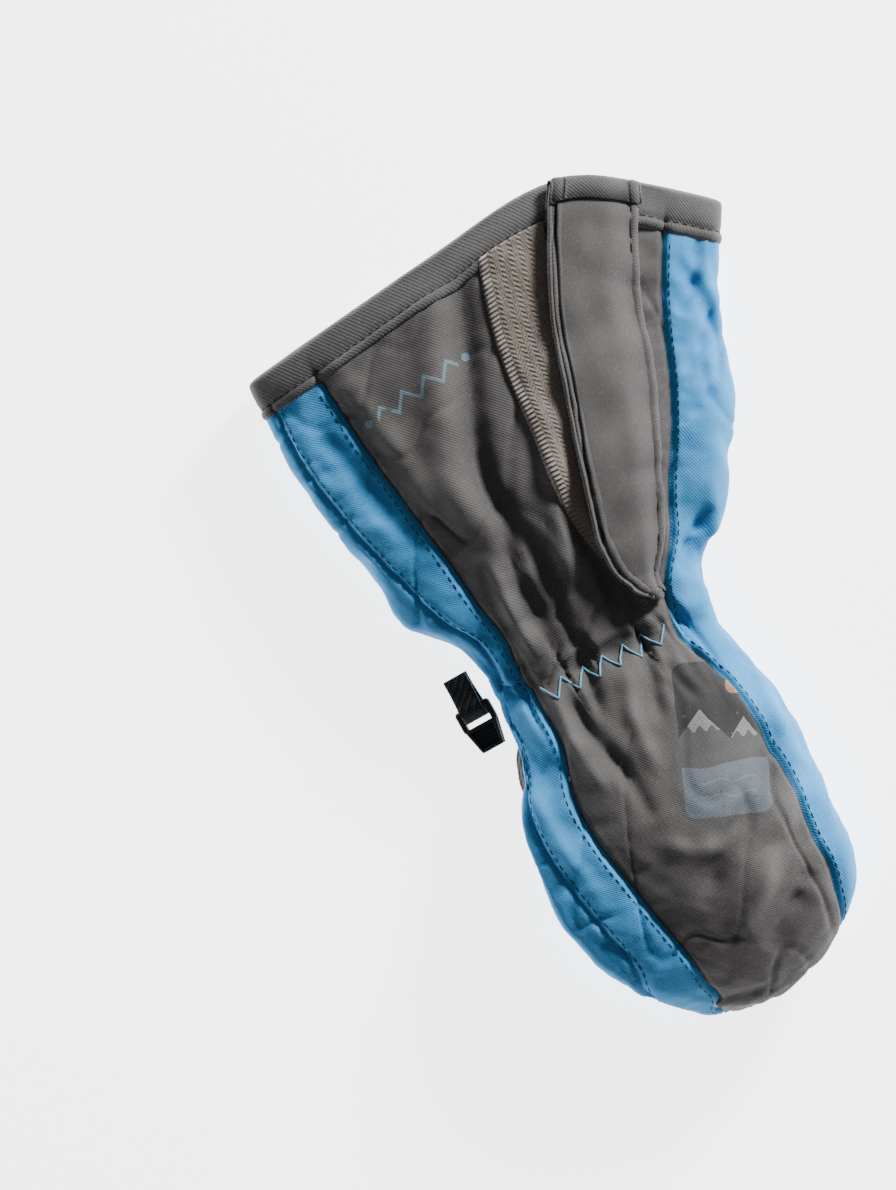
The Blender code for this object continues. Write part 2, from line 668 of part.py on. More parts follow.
def build_wrist():
    gather_panel("wrist_gather_back", 0, SHELL_LAYER, "grey_twill")
    gather_panel("wrist_gather_outer_side", 1, SHELL_LAYER, "blue_twill")
    gather_panel("wrist_gather_palm", 2, SHELL_LAYER, "black_grip")
    gather_panel("wrist_gather_thumb_side", 3, SHELL_LAYER, "blue_twill")
    gather_panel("wrist_elastic", 0, (SHELL + LAYER_GAP, SHELL + LAYER_GAP + 1.0), "elastic")
    gather_tube("wrist_lining", (WADDING_LAYER[1] + LAYER_GAP, LINING_LAYER[1]), "fleece")


def main():
    clear_scene()
    palm, hand_wadding, hand_lining = build_hand()
    thumb_upper, thumb_wadding, thumb_lining = build_thumb()
    cut_thumb_mouth((palm, hand_wadding, hand_lining, thumb_upper, thumb_wadding, thumb_lining))
    build_wrist()
    build_cuff()
    build_flap()
    clip_body()
    clip_webbing()


main()
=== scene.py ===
"""Looks of a child's long-cuff ski mitten: puffed fabric panels, seams, tapes, prints and clip.

The mitten lies palm down with its hand axis along Y.  Lengths are in millimetres until
a mesh is made.  A place on the shell is an angle round its section and a row: -1 at the
fingertip, 0 at the wrist, GATHER at the cuff's start, 1 + GATHER at the mouth.
"""
import math

import bmesh
import bpy
import numpy as np
from mathutils import Matrix, Vector


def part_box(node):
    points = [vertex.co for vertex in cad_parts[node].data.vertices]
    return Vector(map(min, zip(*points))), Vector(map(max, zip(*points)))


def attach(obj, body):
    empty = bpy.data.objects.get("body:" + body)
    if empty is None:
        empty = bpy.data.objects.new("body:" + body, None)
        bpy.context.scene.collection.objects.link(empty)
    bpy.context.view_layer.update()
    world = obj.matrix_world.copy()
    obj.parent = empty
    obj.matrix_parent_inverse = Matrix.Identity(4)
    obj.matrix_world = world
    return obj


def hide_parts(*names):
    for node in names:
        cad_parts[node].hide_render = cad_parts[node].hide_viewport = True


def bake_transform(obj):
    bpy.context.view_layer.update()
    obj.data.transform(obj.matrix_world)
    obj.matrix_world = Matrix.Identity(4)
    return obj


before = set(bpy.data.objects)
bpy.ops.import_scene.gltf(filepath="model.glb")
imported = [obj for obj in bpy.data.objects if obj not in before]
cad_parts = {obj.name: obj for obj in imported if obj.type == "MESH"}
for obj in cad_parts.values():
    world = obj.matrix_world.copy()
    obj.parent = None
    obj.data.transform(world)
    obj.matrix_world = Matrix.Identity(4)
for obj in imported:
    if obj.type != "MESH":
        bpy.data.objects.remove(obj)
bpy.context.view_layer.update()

MM = 0.001
PI = math.pi
SAME_PLACE = 1e-6

# Sizes of the mitten, as in its design
HAND_LENGTH = 112.5
HAND_HALF_WIDTH = 45.0
HAND_TOP = 36.5
CUFF_LENGTH = 107.0
CUFF_RISE = 24.5
CUFF_HALF_WIDTH = 75.5
WRIST_HALF_WIDTH = 36.0
WRIST_TOP = 25.0
CUFF_TOP = 24.0
EDGE_HEIGHT = 12.5
WRIST_GATHER = 8.0
WRIST_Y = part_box("back_panel")[1].y / MM
CUFF_Y = WRIST_Y + WRIST_GATHER
ORIGIN_X = 1.9
THUMB_BED = 16.0
BINDING_HEIGHT = 9.5
BAND_START = 1 - BINDING_HEIGHT / CUFF_LENGTH
GATHER = .07

HAND_MIDDLE = ((0, -2.0), (.1, 2.3), (.2, .9), (.4, 1.7), (.5, 4.0), (.6, 5.3), (.8, 4.3), (1, 4.5))
HAND_SPREAD = ((0, .80), (.1, .888), (.2, .984), (.4, .998), (.5, .956), (.6, .829), (.8, .429), (1, 0))
HAND_CROWN = ((0, 0), (.15, .5), (.35, 1), (.6, .76), (.8, .1), (1, 0))
CUFF_MIDDLE = ((0, -2.0), (.1, -3.4), (.2, -3.5), (.35, -1.5), (.5, -.85), (.75, -1.6), (1, 1.9))
CUFF_SPREAD = ((0, 0), (.1, .10), (.2, .38), (.35, .545), (.5, .69), (.75, .85), (1, 1))
MOUTH_LINE = ((-1, 0), (-.576, .33), (-.175, .64), (.396, 1), (.607, .81), (1, .11))

# Seams of the shell: section angle by row, 0 on the thumb side edge, pi on the outer edge
PALM_THUMB = ((-1, -.75), (0, -.75), (GATHER, -.55), (1.07, -.5))
SIDE_SEAM = ((-1, -.60), (-.8, -.25), (-.67, .16), (-.6, .52), (-.45, .66), (-.3, .50), (-.16, .26),
             (0, .20), (GATHER, .46), (.27, .58), (.47, .42), (.77, .32), (1.07, .28))
THUMB_SEAM = ((-1, -.45), (-.9, .10), (-.8, .98), (-.7, 1.10), (-.55, 1.137), (-.4, 1.089), (-.2, .894),
              (0, .795), (.03, .74), (.17, .86), (.27, .94), (.42, .88), (.67, .82), (.87, .78), (1.07, .69))
OUTER_SEAM = ((-1, 3.55), (-.8, 3.34), (-.7, 3.12), (-.6, 2.66), (-.5, 2.515), (-.3, 2.486), (-.12, 2.41),
              (0, 2.234), (.1, 2.24), (.2, 2.33), (.33, 2.28), (.45, 2.32), (.63, 2.38), (.8, 2.44),
              (1.07, 2.52))
PALM_OUTER = ((-1, 3.89), (0, 3.89), (GATHER, 3.69), (1.07, 3.64))
SEAMS = (PALM_THUMB, SIDE_SEAM, THUMB_SEAM, OUTER_SEAM, PALM_OUTER)
SECTORS = ("lower", "side", "back", "outer", "palm")

# Lines on the cuff, by row: place across (-1 to 1)
SLIT_EDGE = ((0, .50), (.07, .42), (.14, .29), (.3, .10), (.5, .05), (1, .075))
HINGE_LINE = ((0, .56), (.12, .60), (.3, .60), (.6, .65), (1, .71))
FLAP_EDGE = ((.045, .58), (.05, .50), (.062, .43), (.085, .36), (.13, .28), (.2, .205), (.28, .18),
             (.42, .18), (.6, .23), (1, .38))


# ---------------------------------------------------------------- curves and fields

def through(knots, x):
    """Smooth curve through (place, value) knots."""
    xs, ys = np.array(knots, float).T
    slope = np.diff(ys) / np.diff(xs)
    m = np.concatenate([slope[:1], (slope[1:] + slope[:-1]) / 2, slope[-1:]])
    x = np.clip(x, xs[0], xs[-1])
    i = np.clip(np.searchsorted(xs, x, side="right") - 1, 0, len(xs) - 2)
    span = xs[i + 1] - xs[i]
    f = (x - xs[i]) / span
    return (ys[i] * (1 + 2 * f) * (1 - f) ** 2 + ys[i + 1] * f * f * (3 - 2 * f)
            + m[i] * span * f * (1 - f) ** 2 - m[i + 1] * span * f * f * (1 - f))


def ramp(x, start, end):
    """Smooth step from 0 at start to 1 at end."""
    f = np.clip((x - start) / (end - start), 0, 1)
    return f * f * (3 - 2 * f)


def waves(x, y, seed, longest, shortest, count=24):
    """Smooth seeded noise, about -1 to 1: a sum of plane waves between two wavelengths."""
    rng = np.random.default_rng(seed)
    total = np.zeros(np.broadcast(x, y).shape)
    for k in range(count):
        length = longest * (shortest / longest) ** (k / max(1, count - 1))
        turn = rng.uniform(0, PI)
        phase = rng.uniform(0, 2 * PI)
        size = (length / longest) ** .6
        total = total + size * np.sin(2 * PI * (x * math.cos(turn) + y * math.sin(turn)) / length + phase)
    return total / math.sqrt(count / 2)


# ---------------------------------------------------------------- shape of the shell

def hand_skin(angle, s, inset):
    """Surface of the hand part; s runs from 0 at the wrist to 1 at the fingertip."""
    c = -np.cos(angle)
    up = np.sin(angle)
    share = 1 - inset / (0.5 * HAND_TOP)
    half = HAND_HALF_WIDTH * through(HAND_SPREAD, s)
    x = through(HAND_MIDDLE, s) + half * c * (1 - inset / HAND_HALF_WIDTH)
    y = WRIST_Y - HAND_LENGTH * np.sin(s * PI / 2) + inset * s ** 8
    left = 9.0 * ramp(-c, -.45, .35) * ramp(s, 0, .1) * (1 - ramp(s, .55, .95))
    edge = EDGE_HEIGHT + 4.0 * ramp(s, 0, .25) - 4.5 * ramp(s, .6, 1) + left
    crown = WRIST_TOP + (HAND_TOP - WRIST_TOP) * through(HAND_CROWN, s)
    crown = crown + (edge - crown) * (1 - np.sqrt(np.clip(1 - s ** 5, 0, 1)))
    top = edge + (crown - edge) * share * np.abs(up) ** .72
    bed = THUMB_BED * (1 - ramp(c, -.12, .30)) * ramp(s, 0, .065) * (1 - ramp(s, .46, .62))
    bed = bed + (edge - bed) * (1 - np.sqrt(np.clip(1 - ramp(s, .62, 1.0) ** 2, 0, 1)))
    depth = edge - bed
    depth = depth - inset * np.minimum(1.0, depth / 9.0)
    low = edge - depth * np.minimum(1.0, 1.16 * np.abs(up) ** .5)
    return np.stack(np.broadcast_arrays(x - ORIGIN_X, y, np.where(up >= 0, top, low)), -1)


def cuff_skin(angle, t, inset):
    """Surface of the cuff; t runs from 0 at the gathers to 1 at the mouth."""
    c = -np.cos(angle)
    up = np.sin(angle)
    half = WRIST_HALF_WIDTH + (CUFF_HALF_WIDTH - WRIST_HALF_WIDTH) * through(CUFF_SPREAD, t) - inset
    x = through(CUFF_MIDDLE, t) + half * c
    y = CUFF_Y + t * (CUFF_LENGTH + CUFF_RISE * through(MOUTH_LINE, c))
    crown = WRIST_TOP + (CUFF_TOP - WRIST_TOP) * t + 3.0 * np.sin(PI * np.minimum(1, t * 1.3)) ** 2
    top = EDGE_HEIGHT + (crown - EDGE_HEIGHT - inset) * np.abs(up) ** .6
    floor = 1.1 * ramp(t, 0, BAND_START) + inset
    low = EDGE_HEIGHT - (EDGE_HEIGHT - floor) * np.minimum(1.0, 1.04 * np.abs(up) ** .45)
    return np.stack(np.broadcast_arrays(x - ORIGIN_X, y, np.where(up >= 0, top, low)), -1)


def skin(angle, row, inset=0.0):
    """Plain shell surface at a section angle and a row."""
    hand = hand_skin(angle, np.clip(-row, 0, 1), inset)
    cuff = cuff_skin(angle, np.maximum(row - GATHER, 0), inset)
    f = np.clip(row / GATHER, 0, 1)[..., None]
    return hand + (cuff - hand) * f


def row_at(y):
    """Row of the shell at a distance along the hand, near its middle."""
    hand = -np.arcsin(np.clip((WRIST_Y - y) / HAND_LENGTH, 0, 1)) * 2 / PI
    cuff = GATHER + np.maximum(y - CUFF_Y, 0) / (CUFF_LENGTH + CUFF_RISE)
    return np.where(y < WRIST_Y, hand, np.where(y < CUFF_Y, GATHER * (y - WRIST_Y) / WRIST_GATHER, cuff))


def angle_at(c):
    """Angle on the upper side at a place across, from -1 to 1."""
    return np.arccos(np.clip(-np.asarray(c, float), -1, 1))


def seam_angles(row):
    """Angles of the five seams at rows, with the first again after a full turn."""
    lines = [through(seam, row) for seam in SEAMS]
    return lines + [lines[0] + 2 * PI]


def grid_angles(row, shares):
    """Angles of the columns of every sector, given each sector's shares from 0 to 1."""
    lines = seam_angles(row)
    columns = []
    for k, share in enumerate(shares):
        columns.append(lines[k][:, None] + (lines[k + 1] - lines[k])[:, None] * share[None, :])
    return columns


def shell_rows(hand, gather, cuff):
    """Row places from the fingertip to the mouth."""
    return np.concatenate([-np.linspace(1, 0, hand, endpoint=False) ** .9,
                           np.linspace(0, GATHER, gather, endpoint=False),
                           GATHER + np.linspace(0, 1, cuff)])


# ---------------------------------------------------------------- meshes

def grid_mesh(points, uv=None, wear_and_shade=None, close=False):
    """A sheet from a grid of points (rows, columns, 3) in millimetres, made of a bmesh grid.

    UV map Cloth is in metres of cloth, Place is where the cloth lies at rest.  A closed sheet
    has its meeting edges and poles joined.
    """
    rows, columns = points.shape[:2]
    bm = bmesh.new()
    bmesh.ops.create_grid(bm, x_segments=columns - 1, y_segments=rows - 1, size=0.5)
    order = [(round((v.co.y + 0.5) * (rows - 1)), round((v.co.x + 0.5) * (columns - 1))) for v in bm.verts]
    uv_layer = bm.loops.layers.uv.new("Cloth")
    place_layer = bm.loops.layers.uv.new("Place")
    # This layer holds the cloth's relief: the shader tints ridges lighter as wear and paints shade into
    # grooves, folds and seams.
    wear_and_shade_layer = bm.verts.layers.float.new("wear_and_shade")
    for vert, (r, c) in zip(bm.verts, order):
        vert.co = points[r, c] * MM
        if wear_and_shade is not None:
            vert[wear_and_shade_layer] = wear_and_shade[r, c]
    if uv is not None:
        for face in bm.faces:
            for loop in face.loops:
                r, c = order[loop.vert.index]
                loop[uv_layer].uv = uv[r, c] * MM
                loop[place_layer].uv = points[r, c, :2] * MM
    if close:
        bmesh.ops.remove_doubles(bm, verts=bm.verts, dist=SAME_PLACE)
    return bm


def cloth_lengths(points):
    """UV in millimetres of cloth: across from the middle column, along the middle column."""
    across = np.zeros(points.shape[:2])
    across[:, 1:] = np.cumsum(np.linalg.norm(np.diff(points, axis=1), axis=2), axis=1)
    across -= across[:, points.shape[1] // 2][:, None]
    middle = points[:, points.shape[1] // 2]
    along = np.concatenate([[0], np.cumsum(np.linalg.norm(np.diff(middle, axis=0), axis=1))])
    return np.stack([across, np.broadcast_to(along[:, None], across.shape)], -1)


def finish_piece(name, bm, material, thickness=0.0):
    """Make a bmesh in metres an object, with a wall inside its surface where a thickness is given."""
    mesh = bpy.data.meshes.new(name)
    bm.normal_update()
    bm.to_mesh(mesh)
    bm.free()
    mesh.materials.append(material)
    mesh.shade_smooth()
    obj = bpy.data.objects.new(name, mesh)
    bpy.context.scene.collection.objects.link(obj)
    if thickness:
        wall = obj.modifiers.new("wall", "SOLIDIFY")
        wall.thickness = thickness * MM
        wall.offset = -1
    return obj


def normals_of(points):
    """Outward unit normals of a grid of points."""
    along = np.gradient(points, axis=0)
    across = np.gradient(points, axis=1)
    n = np.cross(across, along)
    size = np.linalg.norm(n, axis=2, keepdims=True)
    return n / np.maximum(size, 1e-9)


def sample(grid, r, c):
    """Bilinear value of a grid at fractional rows and columns."""
    r = np.clip(r, 0, grid.shape[0] - 1.001)
    c = np.clip(c, 0, grid.shape[1] - 1.001)
    i, j = r.astype(int), c.astype(int)
    fr, fc = r - i, c - j
    if grid.ndim == 3:
        fr, fc = fr[..., None], fc[..., None]
    return ((grid[i, j] * (1 - fc) + grid[i, j + 1] * fc) * (1 - fr)
            + (grid[i + 1, j] * (1 - fc) + grid[i + 1, j + 1] * fc) * fr)


# ---------------------------------------------------------------- cloth

SIM_COLUMNS = (9, 9, 30, 15, 26)
SIM_ROWS = shell_rows(46, 5, 46)
CLOTH_CAP = 4.2


def cloth_rest():
    """Coarse shell before it is blown up."""
    shares = [np.arange(n) / n for n in SIM_COLUMNS]
    angles = np.concatenate(grid_angles(SIM_ROWS, shares), axis=1)
    angles = np.concatenate([angles, angles[:, :1] + 2 * PI], axis=1)
    return skin(angles, SIM_ROWS[:, None], 0.0)


def puffed_moves():
    """How far each place of the coarse shell moves when it is blown up and its seams draw in."""
    rest = cloth_rest()
    rows, columns = rest.shape[:2]
    bm = grid_mesh(rest)
    place_r = bm.verts.layers.int.new("r")
    place_c = bm.verts.layers.int.new("c")
    bm.verts.ensure_lookup_table()
    for k, vert in enumerate(bm.verts):
        vert[place_r], vert[place_c] = divmod(k, columns)
    bmesh.ops.remove_doubles(bm, verts=bm.verts, dist=SAME_PLACE)
    keys = [(v[place_r], v[place_c]) for v in bm.verts]
    obj = finish_piece("cloth", bm, bpy.data.materials.new("cloth"))
    seam_columns = np.cumsum((0,) + SIM_COLUMNS)
    hold = obj.vertex_groups.new(name="hold")
    drawn = obj.vertex_groups.new(name="drawn")
    wrist = int(np.argmin(np.abs(SIM_ROWS - .02)))
    for k, (r, c) in enumerate(keys):
        from_seam = np.min(np.abs(seam_columns - c))
        weight = .55 if from_seam == 0 else 0.0
        weight = max(weight, 1.0 if r >= rows - 2 or r == 0 else 0.0, .8 if r == wrist else 0.0)
        if rest[r, c, 2] < 1.3:
            weight = max(weight, .7)
        hold.add([k], weight, "REPLACE")
        drawn.add([k], max(0.0, 1 - from_seam / 2), "REPLACE")
    cloth = obj.modifiers.new("cloth", "CLOTH")
    facts = cloth.settings
    facts.quality = 6
    facts.mass = .15
    facts.tension_stiffness = facts.compression_stiffness = 12
    facts.shear_stiffness = 4
    facts.bending_stiffness = .12
    facts.use_pressure = True
    facts.uniform_pressure_force = 30
    facts.vertex_group_mass = "hold"
    facts.vertex_group_shrink = "drawn"
    facts.shrink_min = -.035
    facts.shrink_max = .03
    scene = bpy.context.scene
    scene.use_gravity = False
    for step in range(1, 25):
        scene.frame_set(step)
    moved = obj.evaluated_get(bpy.context.evaluated_depsgraph_get()).to_mesh()
    moves = np.zeros_like(rest)
    for (r, c), vert in zip(keys, moved.vertices):
        moves[r, c] = np.array(vert.co) / MM - rest[r, c]
    moves[:, -1] = moves[:, 0]
    moves[0] = 0
    scene.frame_set(1)
    bpy.data.objects.remove(obj, do_unlink=True)
    for _ in range(2):
        inner = moves[1:-1, 1:-1]
        moves[1:-1, 1:-1] = .4 * inner + .15 * (moves[:-2, 1:-1] + moves[2:, 1:-1]
                                                + moves[1:-1, :-2] + moves[1:-1, 2:])
    far = np.linalg.norm(moves, axis=2, keepdims=True)
    print("cloth moves, mean and most, mm:", far.mean(), far.max())
    return moves * CLOTH_CAP * np.tanh(far / CLOTH_CAP) / np.maximum(far, 1e-9)


# ---------------------------------------------------------------- fine shell surface

FINE_COLUMNS = {"lower": 26, "side": 30, "back": 96, "outer": 44, "palm": 60}
FINE_ROWS = shell_rows(132, 14, 118)
SEAM_DEPTHS = (1.1, .9, 1.6, 1.5, 1.1, 1.1)
LOWEST = .03


def eased(count):
    """Column shares, closer together near the seams."""
    f = np.linspace(0, 1, count + 1)
    return f - .72 * np.sin(2 * PI * f) / (2 * PI)


# Folds on the back of the mitten: points (x, y), half-width, height (a valley is below 0)
FOLDS = (
    (((-6, 110), (-14, 78), (-20, 50), (-14, 26), (-8, 8)), 5.0, -2.6),
    (((-15, 112), (-24, 80), (-30, 52), (-24, 28)), 6.5, 1.6),
    (((2, 66), (0, 44), (-6, 20), (-10, 2)), 4.5, 1.7),
    (((-2, 40), (2, 22), (4, 4), (2, -10)), 3.4, -1.9),
    (((-19, 40), (-21, 22), (-19, 6), (-17, -9)), 3.4, -1.7),
    (((-27, 26), (-26, 10), (-23, -6)), 3.0, 1.3),
    (((-13, 14), (-12, 0), (-11, -14), (-12, -30)), 2.8, -1.5),
    (((9, 8), (8, -8), (6, -24), (4, -36)), 2.6, -1.4),
    (((-18, -16), (-17, -30), (-11, -46), (-8, -62)), 3.2, -1.8),
    (((-23, -18), (-22, -34), (-18, -50)), 3.0, 1.2),
    (((0, -17), (-3, -34), (-2, -50)), 3.4, 1.3),
    (((14, -15), (13, -24), (18, -34)), 2.6, -1.1),
    (((34, -52), (22, -66), (6, -80), (-4, -92)), 4.6, -2.4),
    (((38, -62), (28, -76), (14, -92), (4, -104)), 6.0, 1.9),
    (((32, -92), (24, -100), (10, -110)), 4.0, -1.4),
    (((-8, -70), (4, -76), (18, -74)), 3.6, 1.1),
    (((-62, 84), (-52, 56), (-44, 34)), 4.5, -1.3),
    (((-50, 96), (-42, 70), (-36, 44)), 5.0, 1.2),
    (((58, 92), (62, 70), (58, 48)), 3.4, -1.3),
    (((66, 96), (60, 84), (52, 76)), 2.6, -1.5),
    (((64, 74), (56, 66), (48, 60)), 2.4, -1.3),
    (((60, 58), (52, 50), (44, 46)), 2.4, -1.2),
    (((40, 18), (33, 12), (26, 4)), 3.0, -1.9),
    (((44, 26), (38, 4), (36, -8)), 3.2, 1.0),
    (((40, -22), (38, -44), (40, -66)), 3.2, 1.0),
    (((-40, -40), (-36, -62), (-30, -84)), 3.6, 1.0),
)


def fold_height(points):
    """Height of all the folds at the points of the upper side."""
    x, y = points[..., 0], points[..., 1]
    total = np.zeros(x.shape)
    for path, half, height in FOLDS:
        line = np.array(path, float)
        steps = np.linspace(0, 1, 90)
        place = np.linspace(0, 1, len(line))
        lx = through(list(zip(place, line[:, 0])), steps)
        ly = through(list(zip(place, line[:, 1])), steps)
        gap = np.full(x.shape, 1e9)
        near = np.zeros(x.shape)
        for k, (px, py) in enumerate(zip(lx, ly)):
            d = (x - px) ** 2 + (y - py) ** 2
            near = np.where(d < gap, steps[k], near)
            gap = np.minimum(gap, d)
        fade = np.sin(PI * np.clip(.06 + .94 * near, 0, 1)) ** .6
        wobble = 1 + .25 * np.sin(near * 17 + height * 5)
        total += height * wobble * fade * np.exp(-gap / (.55 * half * half))
    return total


def column_distance(points):
    """Distance from each point to its sector's two borders, along its row."""
    steps = np.linalg.norm(np.diff(points, axis=1), axis=2)
    run = np.concatenate([np.zeros((len(points), 1)), np.cumsum(steps, axis=1)], axis=1)
    return run, run[:, -1:] - run


def pucker(along, distance, seed, reach=5.0, size=.75):
    """Small sharp gathers that leave a seam at a right angle and die out."""
    pattern = waves(along + .25 * distance, .12 * distance, seed, 19.0, 8.0, 12)
    valley = .25 - np.exp(-(pattern / .24) ** 2)
    varied = .55 + .45 * waves(along, 0 * along, seed + 50, 60.0, 25.0, 4)
    return size * varied * valley * np.exp(-distance / reach) * (1 - np.exp(-distance / .8))


def build_surface():
    """Fine surfaces of all five sectors, in millimetres, with folds, gathers and seams."""
    moves = puffed_moves()
    sim_place = np.interp(FINE_ROWS, SIM_ROWS, np.arange(len(SIM_ROWS)))
    first = np.cumsum((0,) + SIM_COLUMNS)
    shares = [eased(FINE_COLUMNS[name]) for name in SECTORS]
    angles = grid_angles(FINE_ROWS, shares)
    along = np.concatenate([[0], np.cumsum(np.abs(np.diff(skin(np.full(len(FINE_ROWS), PI / 2),
                                                               FINE_ROWS)[:, 1])))])[:, None]
    surface = {}
    for k, name in enumerate(SECTORS):
        angle, row = angles[k], FINE_ROWS[:, None] + 0 * angles[k]
        flat = skin(angle, row)
        column = first[k] + shares[k] * SIM_COLUMNS[k]
        push = sample(moves, sim_place[:, None] + 0 * angle, column[None, :] + 0 * angle)
        push *= (.25 + .75 * ramp(np.sin(angle), -.35, .25))[..., None]
        base = flat + push
        low, high = column_distance(base)
        edge = np.minimum(low, high)
        upper = ramp(np.sin(angle), -.1, .25)
        tip = ramp(-row, .93, 1.0)
        across = base[..., 1] - (WRIST_Y + 3.5 - .2 * (base[..., 0] + 36))
        relief = 1.35 * fold_height(base) * upper
        relief += pucker(along + 0 * angle, low, 10 + k) + pucker(along + 0 * angle, high, 11 + k)
        relief += .5 * waves(base[..., 0], base[..., 1] * .6 + base[..., 2], 31, 80, 20, 24)
        relief += .12 * waves(base[..., 0], base[..., 1] + base[..., 2], 33, 16, 5, 24)
        crease = waves(base[..., 0] * 1.3, base[..., 1] * .6, 47, 60, 22, 14)
        relief -= .55 * np.exp(-(crease / .12) ** 2)
        wrist_y = WRIST_Y + 1.0 + 4.6 * (base[..., 0] + 22) / 36
        off = base[..., 1] - np.clip(wrist_y, WRIST_Y - 4, WRIST_Y + 4)
        folded = waves(base[..., 0] + .2 * off, .1 * off, 61, 21.0, 11.0, 10)
        gathers = .6 - 2.1 * np.exp(-(folded / .22) ** 2) + .45 * folded
        relief += (gathers * 1.25 * np.exp(-np.abs(off) / 7.5) - 1.5 * np.exp(-(off / 3.4) ** 2)) \
            * (.25 + .75 * ramp(np.sin(angle), -.1, .5))
        depth = np.where(low < high, SEAM_DEPTHS[k], SEAM_DEPTHS[k + 1])
        relief -= depth * np.exp(-(edge / 1.05) ** 2) * (1 - tip)
        if name == "side":
            relief -= 1.1 * np.exp(-(across / 1.0) ** 2)
        relief *= (1 - .9 * tip) * (1 - ramp(row, 1 + GATHER - .10, 1 + GATHER - .05))
        relief *= 1 - .75 * ramp(1.5 - base[..., 2], 0, 1.2)
        points = base + normals_of(base) * relief[..., None]
        points[..., 2] = np.maximum(points[..., 2], LOWEST)
        sunk = np.sum((points - flat) * normals_of(flat), axis=-1)
        hollow = (points - flat) * ramp(-sunk, -.3, .3)[..., None]
        surface[name] = {"points": points, "base": base, "angle": angle, "relief": relief, "hollow": hollow,
                         "low": low, "high": high}
    for k, name in enumerate(SECTORS):
        after = SECTORS[(k + 1) % len(SECTORS)]
        middle = (surface[name]["points"][:, -1] + surface[after]["points"][:, 0]) / 2
        surface[name]["points"][:, -1] = middle
        surface[after]["points"][:, 0] = middle
    for data in surface.values():
        data["normals"] = normals_of(data["points"])
    return surface


SURFACE = build_surface()


def on_back(angle, row, key="points"):
    """Place on the grey back sector, or its normal."""
    data = SURFACE["back"]
    r = np.interp(row, FINE_ROWS, np.arange(len(FINE_ROWS)))
    start = through(THUMB_SEAM, row)
    end = through(OUTER_SEAM, row)
    share = np.clip((angle - start) / (end - start), 0, 1)
    c = np.interp(share, eased(FINE_COLUMNS["back"]), np.arange(FINE_COLUMNS["back"] + 1))
    return sample(data[key], r, c)


def on_cuff(c, t, lift=0.0, key="points"):
    """Place above the cuff's back at place c across it and t along it."""
    angle, row = angle_at(c), GATHER + np.asarray(t, float)
    at = on_back(angle, row, key)
    if np.ndim(lift) == 0 and lift == 0:
        return at
    n = on_back(angle, row, "normals")
    n = n * .3 + np.array([0, 0, .7])
    n /= np.linalg.norm(n, axis=-1, keepdims=True)
    return at + n * (lift if np.ndim(lift) == 0 else lift[..., None])


# ---------------------------------------------------------------- shader maths

class Value:
    """A shader socket that takes arithmetic."""

    def __init__(self, shader, socket):
        self.shader = shader
        self.socket = socket

    def math(self, operation, *others):
        values = {0: self}
        values.update({k + 1: other for k, other in enumerate(others)})
        return self.shader.node("ShaderNodeMath", {"operation": operation}, values)

    def __add__(self, other):
        return self.math("ADD", other)

    __radd__ = __add__

    def __sub__(self, other):
        return self.math("SUBTRACT", other)

    def __rsub__(self, other):
        return self.math("MULTIPLY", -1.0) + other

    def __mul__(self, other):
        return self.math("MULTIPLY", other)

    __rmul__ = __mul__

    def __abs__(self):
        return self.math("ABSOLUTE")

    def __lt__(self, other):
        return self.math("LESS_THAN", other)

    def __gt__(self, other):
        return self.math("GREATER_THAN", other)

    def sin(self):
        return self.math("SINE")

    def over(self, other):
        return self.math("MAXIMUM", other)

    def under(self, other):
        return self.math("MINIMUM", other)


class Shader:
    """A Principled material that is built from Python expressions."""

    def __init__(self, name, roughness=.8, sheen=0.0):
        self.material = bpy.data.materials.new(name)
        self.material.use_nodes = True
        self.tree = self.material.node_tree
        self.surface = self.tree.nodes["Principled BSDF"]
        self.surface.inputs["Roughness"].default_value = roughness
        self.surface.inputs["Sheen Weight"].default_value = sheen
        self.surface.inputs["Specular IOR Level"].default_value = .35

    def node(self, kind, settings=None, inputs=None, output=0):
        made = self.tree.nodes.new(kind)
        for key, value in (settings or {}).items():
            setattr(made, key, value)
        for key, value in (inputs or {}).items():
            if isinstance(value, Value):
                self.tree.links.new(value.socket, made.inputs[key])
            else:
                made.inputs[key].default_value = value
        return Value(self, made.outputs[output])

    def feed(self, name, value):
        self.tree.links.new(value.socket, self.surface.inputs[name])

    def axes(self, vector):
        return [self.node("ShaderNodeSeparateXYZ", inputs={0: vector}, output=k) for k in range(3)]

    def object_place(self):
        return self.node("ShaderNodeTexCoord", output="Object")

    def cloth_place(self):
        return self.node("ShaderNodeUVMap", {"uv_map": "Cloth"})

    def print_place(self):
        """Where the cloth lies when the mitten is at rest, which stays with the cloth when it bends."""
        return self.node("ShaderNodeUVMap", {"uv_map": "Place"})

    def noise(self, vector, scale, detail=2.0, rough=.5):
        return self.node("ShaderNodeTexNoise", inputs={"Vector": vector, "Scale": scale, "Detail": detail,
                                                       "Roughness": rough})

    def mix(self, factor, a, b):
        """Colour a turned into colour b by factor."""
        ends = [value if isinstance(value, Value) else (*value, 1) for value in (a, b)]
        return self.node("ShaderNodeMix", {"data_type": "RGBA"},
                         {0: factor, 6: ends[0], 7: ends[1]}, 2)

    def bump(self, height, distance, strength=1.0, below=None):
        inputs = {"Height": height, "Distance": distance, "Strength": strength}
        if below is not None:
            inputs["Normal"] = below
        return self.node("ShaderNodeBump", inputs=inputs)


def twill(shader, place, pitch):
    """Height of a fine twill: ribs across two threads, with the threads themselves."""
    u, v, _ = shader.axes(place)
    warp = (u * (2 * PI / pitch)).sin()
    weft = (v * (2 * PI / pitch)).sin()
    rib = ((u + v) * (PI / pitch)).sin()
    return warp * weft * .5 + rib * .5


